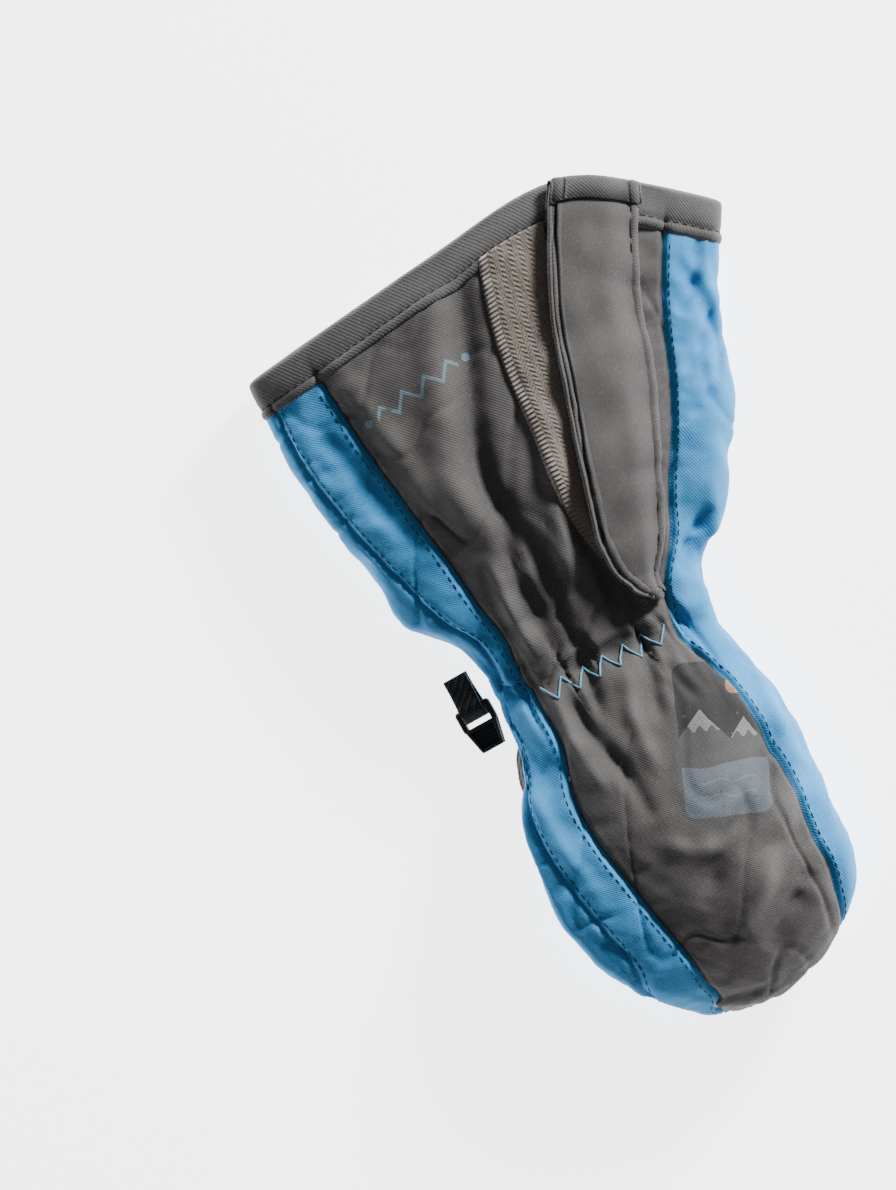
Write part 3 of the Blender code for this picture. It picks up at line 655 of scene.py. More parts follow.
def cloth_material(name, colour, light, dark, pitch=.00048, rough=.82, sheen=.25, prints=None, weave=.4):
    """Coated twill, with lighter ridges as wear, grooves darkened as painted shade, and uneven dye."""
    s = Shader(name, rough, sheen)
    place, cloth = s.object_place(), s.cloth_place()
    height = twill(s, cloth, pitch)
    blotch = s.noise(place, 38.0, 4.0, .6)
    grain = s.noise(place, 1500.0, 2.0, .7)
    # Relief from the mesh: ridges tinted lighter as wear, grooves, folds and seams painted darker as shade.
    wear_and_shade = s.node("ShaderNodeAttribute", {"attribute_name": "wear_and_shade"}, output="Fac")
    tone = s.mix((wear_and_shade * .5 + .5).over(0.0).under(1.0), dark, light)
    tone = s.mix(.55, tone, colour)
    tone = s.mix((blotch - .5) * .6 + .25, tone, dark)
    tone = s.mix((height * .5 + .5) * .2, tone, dark)
    tone = s.mix((grain > .60) * .34, tone, light)
    if prints:
        tone = prints(s, tone)
    s.feed("Base Color", tone)
    s.feed("Roughness", blotch * .16 + (rough - .08))
    soft = s.bump(s.noise(place, 170.0, 3.0, .6), .0005, .4)
    s.feed("Normal", s.bump(height, .00016, weave, soft))
    return s.material


def plain_material(name, colour, dark, rough=.6, scale=900.0, sheen=0.0, depth=.0001):
    """Thread, plastic or pile with a fine grain."""
    s = Shader(name, rough, sheen)
    place = s.object_place()
    grain = s.noise(place, scale, 3.0, .65)
    s.feed("Base Color", s.mix(grain * 1.4 - .3, colour, dark))
    s.feed("Roughness", grain * .2 + (rough - .1))
    s.feed("Normal", s.bump(grain, depth, .7))
    return s.material


# ---------------------------------------------------------------- prints

MOTIF_CENTRE = (.0196, -.0465)
MOTIF_TURN = (.966, .260)
CUFF_MOTIF_CENTRE = (-.0294, .0820)
CUFF_MOTIF_TURN = (.968, .25)
CHARCOAL = (.030, .029, .030)
SLATE = (.085, .083, .085)
PALE_GREY = (.23, .22, .215)
BLUE_GREY = (.125, .15, .175)
SUN = (.30, .155, .075)
PALE_BLUE = (.16, .27, .35)


def motif_axes(shader, centre, right):
    """Place in a print's own frame, in millimetres."""
    x, y, _ = shader.axes(shader.print_place())
    dx, dy = x - centre[0], y - centre[1]
    across = (dx * right[0] + dy * right[1]) * 1000.0
    up = (dy * right[0] - dx * right[1]) * 1000.0
    return across, up


def back_prints(s, tone):
    """A card with two snowy peaks, a lake and a sun on the hand, and a ridge line on the cuff."""
    x, y = motif_axes(s, MOTIF_CENTRE, (MOTIF_TURN[0], -MOTIF_TURN[1]))
    wobble = (s.noise(s.print_place(), 160.0) - .5) * 1.2
    worn = (s.noise(s.print_place(), 420.0, 4.0, .7) > .36) * .93
    x, y = x + wobble, y + wobble
    edge_x, edge_y = (abs(x) - 9.6).over(0.0), (abs(y) - 19.6).over(0.0)
    card = (edge_x * edge_x + edge_y * edge_y) < 12.0
    tall, low = abs(x + 6.0) * 1.15 + y < 9.0, abs(x - 7.0) * 1.3 + y < 5.5
    slopes = tall.over(low) * card
    melt = (x * 1.7).sin() * .9
    caps = (tall * (y > melt + 3.2)).over(low * (y > melt + .6))
    lake = card * (y < (x * .22).sin() * .8 - 7.5)
    ripple = (abs(y + 12.5 + (x * .7).sin() * .5) < .3).over(abs(y + 16.8 + (x * .7).sin() * .5) < .3)
    sun = ((x - 5.2) * (x - 5.2) + (y - 15.2) * (y - 15.2)) < 7.0
    tone = s.mix(card * worn, tone, CHARCOAL)
    tone = s.mix(slopes * worn, tone, SLATE)
    tone = s.mix(caps * worn, tone, PALE_GREY)
    tone = s.mix(lake * worn, tone, BLUE_GREY)
    tone = s.mix(lake * ripple * (abs(x) < 9.0) * worn * .5, tone, PALE_GREY)
    tone = s.mix(sun * worn, tone, SUN)
    a, b = motif_axes(s, CUFF_MOTIF_CENTRE, CUFF_MOTIF_TURN)
    ridge = abs(a.math("PINGPONG", 4.0) * 1.15 - b - 2.3) < .75
    ridge = ridge * (abs(a) < 14.5)
    dot = ((abs(a) - 17.6) * (abs(a) - 17.6) + b * b) < 1.6
    return s.mix(ridge.over(dot) * .75 * worn, tone, PALE_BLUE)


# ---------------------------------------------------------------- finishes

GREY = (.106, .101, .099), (.160, .152, .148), (.050, .047, .046)
BLUE = (.058, .375, .78)
MATERIALS = {
    "grey": cloth_material("grey_twill", *GREY, prints=back_prints, sheen=.08),
    "grey_plain": cloth_material("grey_twill_plain", *GREY, sheen=.08),
    "blue": cloth_material("blue_twill", BLUE, (.10, .45, .84), (.022, .18, .44), sheen=.04),
    "black": cloth_material("black_grip_fabric", (.012, .012, .014), (.035, .035, .038), (.004, .004, .005),
                            pitch=.0011, weave=.9),
    "tape": cloth_material("binding_tape", (.095, .092, .09), (.15, .145, .142), (.05, .048, .048),
                           pitch=.0006, weave=.5),
    "lining": cloth_material("fleece", (.03, .031, .034), (.06, .06, .064), (.012, .012, .014),
                             pitch=.0016, sheen=.6, weave=.5),
    "elastic": plain_material("elastic", (.55, .55, .53), (.30, .30, .29), .8, 700.0, .2, .0003),
    "wadding": plain_material("wadding", (.75, .75, .73), (.5, .5, .49), .95, 500.0, .5, .0006),
    "navy_thread": plain_material("navy_thread", (.006, .025, .07), (.003, .012, .035), .9, 3000.0),
    "dark_thread": plain_material("dark_thread", (.016, .015, .015), (.008, .007, .007), .9, 3000.0),
    "sky_thread": plain_material("sky_thread", (.16, .40, .56), (.07, .22, .36), .6, 2500.0, .2),
    "plastic": plain_material("moulded_plastic", (.012, .012, .013), (.02, .02, .021), .42, 1800.0,
                              depth=.00008),
    "webbing": cloth_material("narrow_webbing", (.010, .010, .011), (.022, .022, .023), (.004, .004, .004),
                              pitch=.0014, weave=1.0),
}


SHELL_WALL = .8


def shell_piece(name, sector, material, rows=slice(None)):
    """One panel of the shell, from all of its rows or some."""
    data = SURFACE[sector]
    points = data["points"][rows]
    uv = cloth_lengths(data["base"][rows])
    # Relief of the folds and seams goes into the colour: lighter ridges as wear, painted shade in the
    # grooves.
    wear_and_shade = np.clip(data["relief"][rows] * .8, -1, 1)
    return finish_piece(name, grid_mesh(points, uv, wear_and_shade), MATERIALS[material], SHELL_WALL)


def across_wrist(obj):
    """Bake a piece's place into its mesh, leaving it attached to no body."""
    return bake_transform(obj)


def shell_rows_between(low, high):
    picked = np.nonzero((FINE_ROWS >= low - 1e-9) & (FINE_ROWS <= high + 1e-9))[0]
    return slice(picked[0], picked[-1] + 1)


def build_shell():
    """Outer fabric: grey back, three blue sides, black palm and grey cuff palm."""
    back = shell_piece("grey_back", "back", "grey")
    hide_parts("back_panel", "wrist_gather_back", "cuff_back_panel", "cuff_gusset", "cuff_hinge_strip")
    side = shell_piece("blue_thumb_side", "side", "blue")
    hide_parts("thumb_side_panel", "wrist_gather_thumb_side", "cuff_thumb_side_panel")
    lower = shell_piece("blue_thumb_side_lower", "lower", "blue")
    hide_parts("thumb_side_lower_panel")
    outer = shell_piece("blue_outer_side", "outer", "blue")
    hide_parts("outer_side_panel", "wrist_gather_outer_side", "cuff_outer_side_panel")
    palm = shell_piece("palm", "palm", "black", shell_rows_between(-1, GATHER))
    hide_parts("palm_panel", "wrist_gather_palm")
    cuff_palm = shell_piece("cuff_palm", "palm", "grey_plain", shell_rows_between(GATHER, 2))
    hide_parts("cuff_palm_panel")
    for obj in (back, side, lower, outer, palm):
        across_wrist(obj)
    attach(cuff_palm, "cuff")


# ---------------------------------------------------------------- stitches and threads

def seam_path(sector, side, offset, rows):
    """Points and normals at a fixed distance from a sector's border (side 0 or 1)."""
    data = SURFACE[sector]
    run = data["low"] if side == 0 else data["high"]
    points, ups = [], []
    for r in range(rows.start, rows.stop):
        distances = run[r] if side == 0 else run[r][::-1]
        columns = np.arange(len(distances)) if side == 0 else np.arange(len(distances))[::-1]
        if distances[-1] < 2 * offset:
            continue
        c = np.interp(offset, distances, columns)
        at = np.array([float(r)]), np.array([c])
        points.append(sample(data["points"], *at)[0])
        ups.append(sample(data["normals"], *at)[0])
    return np.array(points), np.array(ups)


STITCH_PITCH = 2.8
STITCH_LENGTH = 2.1
STITCH_WIDTH = .34


def add_stitches(bm, points, ups):
    """A row of short threads along a path, half sunk in the cloth and none below the floor."""
    run = np.concatenate([[0], np.cumsum(np.linalg.norm(np.diff(points, axis=0), axis=1))])
    for k in range(int(run[-1] / STITCH_PITCH)):
        middle = (k + .5) * STITCH_PITCH
        start, end = (np.array([np.interp(d, run, points[:, axis]) for axis in range(3)])
                      for d in (middle - STITCH_LENGTH / 2, middle + STITCH_LENGTH / 2))
        along = Vector(end - start)
        if along.length < .2:
            continue
        up = Vector([np.interp(middle, run, ups[:, axis]) for axis in range(3)])
        side = up.cross(along).normalized()
        up = along.cross(side).normalized()
        place = Vector((start + end) / 2) + up * (STITCH_WIDTH * .32 - .02)
        turn = Matrix((along.normalized(), side, up)).transposed().to_4x4()
        size = Matrix.Diagonal((along.length / 2, STITCH_WIDTH / 2, STITCH_WIDTH * .4, 1))
        made = bmesh.ops.create_uvsphere(bm, u_segments=6, v_segments=5, radius=1,
                                         matrix=Matrix.Scale(MM, 4) @ Matrix.Translation(place) @ turn @ size)
        for vert in made["verts"]:
            vert.co.z = max(vert.co.z, 0.0)


def stitched(name, paths, material, body):
    """One piece of thread from rows of stitches; body is a CAD body, or wrist for a piece across both sides
    of the wrist, which is baked in place and attached to no body.
    """
    bm = bmesh.new()
    for points, ups in paths:
        if len(points) > 1:
            add_stitches(bm, points, ups)
    obj = finish_piece(name, bm, MATERIALS[material])
    if body == "wrist":
        across_wrist(obj)
    else:
        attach(obj, body)


def tube(name, points, radius, material):
    """A thread through points in millimetres."""
    curve = bpy.data.curves.new(name, "CURVE")
    curve.dimensions = "3D"
    curve.bevel_depth = radius * MM
    curve.bevel_resolution = 2
    curve.use_fill_caps = True
    spline = curve.splines.new("POLY")
    spline.points.add(len(points) - 1)
    for item, point in zip(spline.points, points):
        item.co = (*(np.array(point) * MM), 1)
    holder = bpy.data.objects.new(name + "_line", curve)
    bpy.context.scene.collection.objects.link(holder)
    mesh = bpy.data.meshes.new_from_object(holder.evaluated_get(bpy.context.evaluated_depsgraph_get()))
    bpy.data.objects.remove(holder, do_unlink=True)
    mesh.materials.clear()
    mesh.materials.append(MATERIALS[material])
    mesh.shade_smooth()
    obj = bpy.data.objects.new(name, mesh)
    bpy.context.scene.collection.objects.link(obj)
    return obj


def build_stitches():
    """Topstitches beside the seams, and across the thumb side at the wrist."""
    whole = shell_rows_between(-.93, 1 + GATHER - .1)
    hand_only = shell_rows_between(-.9, -.02)
    cuff_only = shell_rows_between(GATHER + .02, 1 + GATHER - .1)
    paths = [seam_path("side", 1, 2.0, whole), seam_path("outer", 0, 2.0, whole),
             seam_path("side", 0, 1.8, hand_only), seam_path("side", 0, 1.8, cuff_only)]
    data = SURFACE["side"]
    spots, ups = [], []
    for c in range(2, 29):
        line = data["base"][:, c]
        r = np.interp(0, line[:, 1] - (WRIST_Y + 5.3 - .2 * (line[:, 0] + 36)), np.arange(len(line)))
        spots.append(sample(data["points"], np.array([r]), np.array([float(c)]))[0])
        ups.append(sample(data["normals"], np.array([r]), np.array([float(c)]))[0])
    paths.append((np.array(spots), np.array(ups)))
    stitched("blue_topstitch", paths, "navy_thread", "wrist")
    under = [seam_path("lower", 0, 1.8, hand_only), seam_path("outer", 1, 1.8, hand_only)]
    stitched("palm_topstitch", under, "navy_thread", "wrist")


def build_zigzag():
    """The elastic's zigzag stitch across the back of the wrist."""
    turns, steps = 12, 12
    k = np.arange(turns * steps + 1)
    place = k / (turns * steps)
    swing = np.abs((k / steps) % 2 - 1) * 2 - 1
    spot = angle_at(-.60 + 1.13 * place), row_at(-16.8 + 4.9 * place + 2.9 * swing)
    points = on_back(*spot) + .25 * on_back(*spot, "normals")
    obj = tube("zigzag_stitch", points, .33, "sky_thread")
    across_wrist(obj)


# ---------------------------------------------------------------- tapes at the mouth

def near_mouth(sector, column, past):
    """Place and normal of the shell at a share of the cuff past the binding's lower edge."""
    r = np.interp([GATHER + BAND_START + past], FINE_ROWS, np.arange(len(FINE_ROWS)))
    return [sample(SURFACE[sector][key], r, np.array([float(column)]))[0] for key in ("points", "normals")]


def build_binding():
    """Folded tape round the mouth, with a ridge under its lower edge."""
    profile = [(-.012, .05), (-.004, .75), (.004, .95), (.011, .85), (.017, .30), (.022, .62), (.035, .98),
               (.060, 1.10), (.080, 1.12), (.0885, 1.02)]
    columns = []
    for name in SECTORS:
        columns += [(name, c) for c in range(0, FINE_COLUMNS[name], 2)]
    strips = []
    for name, c in columns:
        line = []
        for past, lift in profile:
            at, n = near_mouth(name, c, past)
            line.append(at + n * lift)
        edge, n = SURFACE[name]["points"][-1, c], SURFACE[name]["normals"][-1, c]
        for turn in np.linspace(.25, PI, 7):
            middle = edge - n * 2.1
            line.append(middle + n * 3.1 * math.cos(turn) + np.array([0, 1.9 * math.sin(turn), 0]))
        for past in (.07, .04, .0):
            line.append(near_mouth(name, c, past)[0] - n * 5.0)
        strips.append(line)
    strips.append(strips[0])
    points = np.array(strips).transpose(1, 0, 2)
    points[..., 2] = np.clip(points[..., 2], .02, None)
    uv = cloth_lengths(points)[..., ::-1]
    relief = .12 * waves(uv[..., 1], uv[..., 0], 71, 30, 5, 16)
    points[1:10] += (normals_of(points) * relief[..., None])[1:10]
    # The tape's relief goes into its colour: lighter ridges as wear, painted shade in its hollows.
    bm = grid_mesh(points, uv, np.clip(relief * 3, -1, 1), close=True)
    obj = finish_piece("cuff_binding_tape", bm, MATERIALS["tape"], .5)
    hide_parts("cuff_binding")
    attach(obj, "cuff")
    sewn = [near_mouth(name, c, .0175) for name, c in columns]
    path = [at + n * .42 for at, n in sewn]
    stitched("binding_stitch", [(np.array(path), np.array([n for _, n in sewn]))], "dark_thread", "cuff")


# ---------------------------------------------------------------- flap and hook-and-loop tape

FLAP_START = .045
FLAP_ROWS = 110
FLAP_COLUMNS = 46
EDGE_TAPE_WIDTH = 3.1


def build_flap():
    """Flap over the slit, its edge tape and its stitches; its rows lie closer at its round end."""
    f = np.linspace(0, 1, FLAP_ROWS)
    t = FLAP_START + (1 - FLAP_START) * (f * .55 + f * f * .45)
    share = eased(FLAP_COLUMNS - 1)
    hinge, free = through(HINGE_LINE, t)[:, None], through(FLAP_EDGE, t)[:, None]
    c = hinge + (free - hinge) * share[None, :]
    rise = .7 + 2.5 * ramp(share, 0, .40)[None, :] + 0 * t[:, None]
    flat = on_cuff(c, t[:, None] + 0 * c, rise, "base")
    low, high = column_distance(flat)
    bend = .35 * waves(flat[..., 0], flat[..., 1], 83, 46, 9, 22)
    bend += .9 * np.exp(-(high / 9.0) ** 2) * waves(flat[..., 1], 0 * flat[..., 1], 84, 60, 24, 6)
    bend += pucker(flat[..., 1], low, 85, 4.0, .35) + pucker(flat[..., 1], high, 86, 3.0, .25)
    bend -= .7 * np.exp(-((high - EDGE_TAPE_WIDTH) / .55) ** 2)
    bend += .35 * ramp(3.0 - high, 0, .8)
    bend -= .9 * np.exp(-(high / .6) ** 2)
    bend -= .8 * np.exp(-((low - 1.6) / .6) ** 2)
    points = flat + normals_of(flat) * bend[..., None]
    tape_start = int(np.argmin(np.abs(high[len(t) // 2] - EDGE_TAPE_WIDTH)))
    # The flap's bends go into its colour: lighter ridges as wear, painted shade in its grooves.
    uv, wear_and_shade = cloth_lengths(flat), np.clip(bend, -1, 1)
    for name, part, material, wall, slot, nodes in (
            ("flap_panel", slice(0, tape_start + 1), "grey_plain", 1.3, "grey_shell",
             ("cuff_flap", "flap_backing")),
            ("flap_edge", slice(tape_start, None), "tape", 1.5, "binding_tape", ("flap_edge_tape",))):
        bm = grid_mesh(points[:, part], uv[:, part], wear_and_shade[:, part])
        obj = finish_piece(name, bm, MATERIALS[material], wall)
        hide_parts(*nodes)
        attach(obj, "flap")
        name == "flap_panel"
    ups = normals_of(points)
    sewn = []
    for offset, side in ((4.0, 1), (1.3, 0)):
        line, up = [], []
        for r in range(3, len(t) - 8):
            distances = low[r] if side == 0 else high[r][::-1]
            columns = np.arange(FLAP_COLUMNS) if side == 0 else np.arange(FLAP_COLUMNS)[::-1]
            if distances[-1] < offset * 1.6:
                continue
            at = np.array([float(r)]), np.array([np.interp(offset, distances, columns)])
            line.append(sample(points, *at)[0])
            up.append(sample(ups, *at)[0])
        sewn.append((np.array(line), np.array(up)))
    stitched("flap_stitch", sewn, "dark_thread", "flap")
    build_flap_binding(points, ups)


HOOK_WIDTH = 16.0
LOOP_WIDTH = 22.0
CUFF_MIDDLE_LENGTH = 119.0


def build_hook_tape():
    """Hook tape under the flap."""
    t = np.linspace(.2, .88, 90)
    hinge, free = through(HINGE_LINE, t), through(FLAP_EDGE, t)
    half = WRIST_HALF_WIDTH + (CUFF_HALF_WIDTH - WRIST_HALF_WIDTH) * through(CUFF_SPREAD, t)
    width = np.minimum(HOOK_WIDTH, .8 * np.abs(hinge - free) * half)
    across = np.linspace(-.5, .5, 28)
    c = .5 * (hinge + free)[:, None] + across[None, :] * (width / half)[:, None]
    points = on_cuff(c, t[:, None] + 0 * c, 1.25 + 0 * c, "base")
    uv = np.stack(np.broadcast_arrays(across[None, :] * HOOK_WIDTH, t[:, None] * CUFF_MIDDLE_LENGTH), -1)
    bm = grid_mesh(points, uv, np.zeros(c.shape))
    bmesh.ops.reverse_faces(bm, faces=bm.faces)
    obj = finish_piece("hook_tape", bm, hook_material(), .5)
    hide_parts("hook_strip")
    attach(obj, "flap")


def hook_material():
    """Black tape with rows of fine hooks between two plain edges."""
    s = Shader("hook_tape_face", .5)
    u, v, _ = s.axes(s.cloth_place())
    field = abs(u) < .0068
    studs = ((u * (2 * PI / .0011)).sin() * (v * (2 * PI / .0011)).sin() * .5 + .5) * field
    s.feed("Base Color", s.mix(studs, (.008, .008, .009), (.055, .055, .058)))
    s.feed("Normal", s.bump(studs, .0006, .9))
    return s.material


def build_flap_binding(points, ups):
    """Tape folded over the flap's top end."""
    strips = [points[row] + ups[row] * lift
              for row, lift in ((-8, .15), (-7, .75), (-5, 1.0), (-3, 1.05), (-1, .95))]
    end, n = points[-1], ups[-1]
    for turn in np.linspace(.4, PI, 5):
        strips.append(end - n * .7 + n * 1.65 * math.cos(turn) + np.array([0, 1.5 * math.sin(turn), 0]))
    strips.append(points[-5] - ups[-5] * 2.3)
    grid = np.array(strips)
    bm = grid_mesh(grid, cloth_lengths(grid)[..., ::-1], np.zeros(grid.shape[:2]))
    obj = finish_piece("flap_top_tape", bm, MATERIALS["tape"], .4)
    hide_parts("flap_binding")
    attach(obj, "flap")


def build_loop_tape():
    """Loop tape beside the slit: pile field and a ribbed selvedge."""
    t = np.linspace(.17, .925, 100)
    half = WRIST_HALF_WIDTH + (CUFF_HALF_WIDTH - WRIST_HALF_WIDTH) * through(CUFF_SPREAD, t)
    start = through(SLIT_EDGE, t) - .035
    across = np.linspace(0, LOOP_WIDTH, 34)
    narrowed = .3 + .7 * ramp(t, .14, .34)
    c = start[:, None] + across[None, :] * narrowed[:, None] / half[:, None]
    lift = .5 + .45 * ramp(across, 0, .8) * (1 - .55 * np.exp(-((across - 3.0) / .5) ** 2))
    rng = np.random.default_rng(5)
    fuzz = .22 * rng.random(c.shape) * ramp(across, 3.2, 4.0)[None, :]
    points = on_cuff(c, t[:, None] + 0 * c, lift[None, :] + fuzz + .25)
    uv = np.stack(np.broadcast_arrays(across[None, :], t[:, None] * CUFF_MIDDLE_LENGTH), -1)
    obj = finish_piece("loop_tape", grid_mesh(points, uv, np.zeros(c.shape)), loop_material(), .6)
    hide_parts("loop_strip")
    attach(obj, "cuff")


def loop_material():
    """Brown pile in slanting rows, beside a paler ribbed selvedge."""
    s = Shader("loop_pile", .95, .5)
    u, v, _ = s.axes(s.cloth_place())
    selvedge = abs(u - .0015) < .0016
    ribs = (v * (2 * PI / .0013)).sin() * selvedge
    pile = s.noise(s.object_place(), 900.0, 4.0, .75)
    brown = s.mix(pile * 1.5 - .25, (.105, .083, .067), (.24, .205, .175))
    s.feed("Base Color", s.mix((ribs * .5 + .5) * selvedge * .6, brown, (.34, .30, .27)))
    rows = abs(((u * 620.0).math("PINGPONG", 1.0) * .0014 + v) * (2 * PI / .0014)).sin() * (u > .0034)
    s.feed("Normal", s.bump(pile * .8 + ribs * .8 + rows * .22, .0007, .9))
    return s.material


def build_slit_edge():
    """Rolled edge of the cuff's slit below the tape, over the dark gap."""
    t = np.linspace(.035, .36, 60)
    c = through(SLIT_EDGE, t) - .02
    around = np.linspace(0, 2 * PI, 11)
    rows = []
    for k in range(len(t)):
        middle = on_cuff(c[k:k + 1], t[k:k + 1], .25)[0]
        ahead = on_cuff(c[k:k + 1] + .02, t[k:k + 1], .25)[0]
        side = (ahead - middle) / np.linalg.norm(ahead - middle)
        up = np.array([0, 0, 1.0])
        size = .3 + .7 * math.sin(PI * (k + 1) / len(t)) ** .5
        rows.append([middle + size * (side * 1.9 * math.cos(a) + up * .75 * math.sin(a)) for a in around])
    points = np.array(rows)
    bm = grid_mesh(points, cloth_lengths(points), np.zeros(points.shape[:2]), close=True)
    bmesh.ops.holes_fill(bm, edges=[e for e in bm.edges if e.is_boundary], sides=40)
    bmesh.ops.recalc_face_normals(bm, faces=bm.faces)
    obj = finish_piece("slit_edge", bm, MATERIALS["grey_plain"])
    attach(obj, "cuff")


# ---------------------------------------------------------------- inside

def inner_points(rows, depth):
    """A closed tube of places at a depth under the shell, following its hollows."""
    strips = []
    for sector in SECTORS:
        data = SURFACE[sector]
        angle, row = data["angle"][rows][:, 1:-1:3], FINE_ROWS[rows][:, None]
        strips.append(skin(angle, row + 0 * angle, depth) + data["hollow"][rows][:, 1:-1:3])
    points = np.concatenate(strips, axis=1)
    points = np.concatenate([points, points[:, :1]], axis=1)
    inwards = points.mean(axis=1, keepdims=True) - points
    points = points + 1.3 * inwards / np.linalg.norm(inwards, axis=2, keepdims=True)
    points[..., 2] = np.maximum(points[..., 2], .5 + depth * .4)
    return points


def build_inside():
    """Wadding, wrist elastic and lining, each a set depth under the shell."""
    for name, low, high, depth, wall, material, slot, nodes in (
            ("hand_padding", -.93, -.07, 3.0, .6, "wadding", "wadding", ("hand_insulation",)),
            ("cuff_padding", GATHER + .06, GATHER + .97, 2.8, .6, "wadding", "wadding", ("cuff_insulation",)),
            ("elastic_band", .01, GATHER, 3.0, .6, "elastic", "elastic", ("wrist_elastic",)),
            ("mitten_lining", -.95, GATHER + .98, 4.8, .4, "lining", "fleece",
             ("hand_lining", "cuff_lining", "wrist_lining"))):
        rows = np.nonzero((FINE_ROWS > low) & (FINE_ROWS < high))[0][::3]
        points = inner_points(rows, depth)
        if low < -.9:
            points[0] = points[0].mean(axis=0)
            points[1] = points[1] * .7 + points[0] * .3
        bm = grid_mesh(points, cloth_lengths(points), np.zeros(points.shape[:2]), close=True)
        obj = finish_piece(name, bm, MATERIALS[material], wall)
        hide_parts(*nodes)
        if name == "hand_padding":
            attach(obj, "hand")
        elif name == "cuff_padding":
            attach(obj, "cuff")
        else:
            across_wrist(obj)


# ---------------------------------------------------------------- thumb

THUMB_X = -26.5
THUMB_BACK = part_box("thumb_outer_panel")[1].y / MM
THUMB_LENGTH = 54.0
THUMB_HALF_WIDTH = 14.5
THUMB_THICKNESS = 15.0
THUMB_TURN = math.radians(4)


def thumb_skin(angle, q):
    """Surface of the thumb pocket, from its back end (q = 0) to its tip."""
    along = 0.5 * THUMB_LENGTH * (1 - np.cos(PI * q))
    swell = np.clip(np.sin(PI * q), 0, 1) ** .65
    up = np.sin(angle)
    across = THUMB_HALF_WIDTH * (1 - .16 * q) * swell * -np.cos(angle)
    z = 0.5 * THUMB_THICKNESS * (1 + swell * np.sign(up) * np.abs(up) ** .7)
    x = THUMB_X - ORIGIN_X + across * math.cos(THUMB_TURN) + along * math.sin(THUMB_TURN)
    y = THUMB_BACK - along * math.cos(THUMB_TURN) + across * math.sin(THUMB_TURN)
    return np.stack([x, y, z], -1)


def build_thumb():
    q = np.linspace(0, 1, 60)
    for name, start, node in (("thumb_upper", 0.0, "thumb_inner_panel"),
                              ("thumb_lower", PI, "thumb_outer_panel")):
        share = eased(40)
        angle = start + PI * share[None, :] + 0 * q[:, None]
        base = thumb_skin(angle, q[:, None] + 0 * angle)
        low, high = column_distance(base)
        edge = np.minimum(low, high)
        relief = .35 * waves(base[..., 0], base[..., 1], 91, 30, 6, 24)
        relief -= .9 * np.exp(-(edge / .9) ** 2)
        relief += pucker(base[..., 1], edge, 92, 3.5, .4)
        relief *= np.clip(np.sin(PI * q), 0, 1)[:, None] ** .5
        relief *= np.where(base[..., 2] < .6, 0, 1)
        points = base + normals_of(base) * (relief - .35)[..., None] * np.sin(PI * q)[:, None, None] ** .3
        points[..., 2] = np.clip(points[..., 2], .02, THUMB_THICKNESS)
        # The thumb's relief goes into its colour: lighter ridges as wear, painted shade at its seams and
        # hollows.
        bm = grid_mesh(points, cloth_lengths(base), np.clip(relief, -1, 1), close=True)
        obj = finish_piece(name, bm, MATERIALS["black"], .7)
        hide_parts(node)
        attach(obj, "thumb")


# ---------------------------------------------------------------- clip

CLIP_PIVOT = np.array([-WRIST_HALF_WIDTH - 9.2 - ORIGIN_X, WRIST_Y + 1.0, 9.0])
CLIP_TURN = math.radians(9)
CLIP_TILT = math.radians(12)


def clip_matrix():
    """From the clip's own frame (millimetres, y towards its bar) to the mitten's (metres)."""
    turn = Matrix.Rotation(CLIP_TURN, 4, "Z") @ Matrix.Rotation(-CLIP_TILT, 4, "Y")
    return Matrix.Scale(MM, 4) @ Matrix.Translation(CLIP_PIVOT) @ turn


def box(bm, size, place, round_by, segments=3):
    """A block with rounded edges."""
    made = bmesh.ops.create_cube(bm, size=1, matrix=Matrix.Translation(place) @ Matrix.Diagonal((*size, 1)))
    edges = {edge for vert in made["verts"] for edge in vert.link_edges}
    bmesh.ops.bevel(bm, geom=list(edges), offset=round_by, segments=segments, profile=.5, affect="EDGES",
                    material=-1)


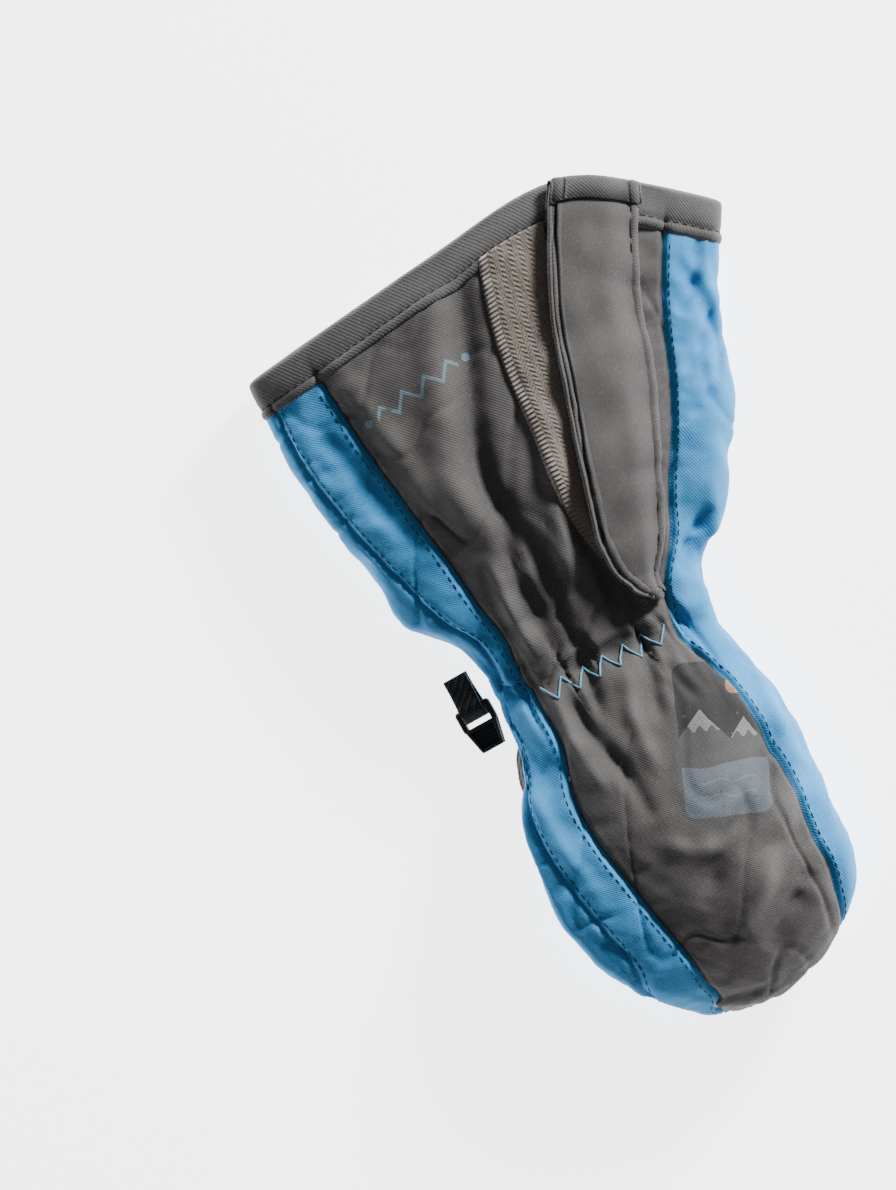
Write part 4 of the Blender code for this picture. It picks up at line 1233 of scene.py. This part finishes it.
def build_clip():
    """Moulded hook: a frame with a bar for the webbing, and a ribbed thumb plate with a rim."""
    bm = bmesh.new()
    box(bm, (11.2, 2.0, 2.8), (0, 0, 0), .7)
    for x in (-4.9, 4.9):
        box(bm, (1.8, 6.6, 2.8), (x, -2.6, 0), .6)
    box(bm, (11.4, 8.4, 2.0), (0, -9.4, -.5), .7)
    for x in (-4.7, 4.7):
        box(bm, (1.3, 8.2, 1.9), (x, -9.3, .65), .5)
    box(bm, (10.6, 1.3, 1.9), (0, -5.9, .65), .5)
    box(bm, (9.6, 1.3, 1.9), (0, -12.9, .65), .5)
    for k in range(5):
        box(bm, (7.0, .5, .7), (0, -7.3 - 1.1 * k, .75), .2, 2)
    for vert in bm.verts:
        vert.co.x *= 1 - .30 * float(ramp(-vert.co.y, 5.0, 14.0))
    bmesh.ops.transform(bm, matrix=clip_matrix(), verts=bm.verts)
    clip = finish_piece("moulded_clip", bm, MATERIALS["plastic"])
    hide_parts("clip_body")
    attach(clip, "clip")
    radius = 2.55
    line = [(11.0, -.62), (6.5, -.7), (4.0, -1.3)] + [(radius * math.cos(a), radius * math.sin(a))
                                                     for a in np.linspace(-.25 * PI, -1.75 * PI, 22)]
    line += [(4.0, 1.3), (6.5, .7), (11.0, .62)]
    steps = np.linspace(-3.7, 3.7, 9)
    rows = [[(across, along, up) for across in steps] for along, up in line]
    matrix = clip_matrix()
    points = np.array([[list(matrix @ Vector(p) / MM) for p in row] for row in rows])
    bm = grid_mesh(points[:, ::-1], cloth_lengths(points), np.zeros(points.shape[:2]))
    loop = finish_piece("webbing_loop", bm, MATERIALS["webbing"], 1.1)
    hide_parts("clip_webbing")
    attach(loop, "cuff")


# ---------------------------------------------------------------- carried nodes

def plain_nodes():
    """Small CAD nodes whose shape stands, with better finishes."""
    for node, material in (("thumb_insulation", "wadding"), ("thumb_lining", "lining")):
        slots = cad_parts[node].data.materials
        slots.clear()
        slots.append(MATERIALS[material])


# ---------------------------------------------------------------- stage

KEY_PLACE = Vector((.98, .72, .52))
KEY_SIZE = .26
KEY_POWER = 44.0
FLOOR_GLOW = 3.8
WORLD_LIGHT = .17
CAMERA_AIM = (-.0420, .0216)
CAMERA_HEIGHT = 1.35
VIEW_TALL = .357
SENSOR_TALL = 24


def build_stage():
    """Pale paper under the mitten, a soft surround and one low key light."""
    bpy.ops.mesh.primitive_plane_add(size=6, location=(0, 0, -.0002))
    floor = bpy.context.object
    floor.name = "floor"
    paper = Shader("paper", .9)
    paper.surface.inputs["Base Color"].default_value = (.9, .9, .9, 1)
    paper.surface.inputs["Emission Color"].default_value = (1, 1, 1, 1)
    paper.surface.inputs["Emission Strength"].default_value = FLOOR_GLOW
    floor.data.materials.append(paper.material)
    world = bpy.data.worlds.new("studio")
    world.use_nodes = True
    world.node_tree.nodes["Background"].inputs["Color"].default_value = (1, 1, 1, 1)
    world.node_tree.nodes["Background"].inputs["Strength"].default_value = WORLD_LIGHT
    bpy.context.scene.world = world
    lamp = bpy.data.lights.new("key", "AREA")
    lamp.size = KEY_SIZE
    lamp.energy = KEY_POWER
    key = bpy.data.objects.new("key", lamp)
    bpy.context.scene.collection.objects.link(key)
    key.location = KEY_PLACE
    key.rotation_euler = (-KEY_PLACE).to_track_quat("-Z", "Y").to_euler()


def build_camera():
    """Straight above, with the fingertip turned towards the lower right."""
    lens = bpy.data.cameras.new("camera")
    lens.sensor_fit = "VERTICAL"
    lens.sensor_height = SENSOR_TALL
    lens.lens = SENSOR_TALL * CAMERA_HEIGHT / VIEW_TALL
    camera = bpy.data.objects.new("camera", lens)
    bpy.context.scene.collection.objects.link(camera)
    up = Vector((.3486, .9373, 0)).normalized()
    back = Vector((0, 0, 1))
    right = up.cross(back)
    camera.matrix_world = Matrix.Translation((*CAMERA_AIM, CAMERA_HEIGHT + .02)) @ \
        Matrix((right, up, back)).transposed().to_4x4()
    bpy.context.scene.camera = camera


build_shell()
build_stitches()
build_zigzag()
build_binding()
build_loop_tape()
build_slit_edge()
build_flap()
build_hook_tape()
build_inside()
build_thumb()
build_clip()
plain_nodes()
build_stage()
build_camera()

bpy.context.view_layer.update()
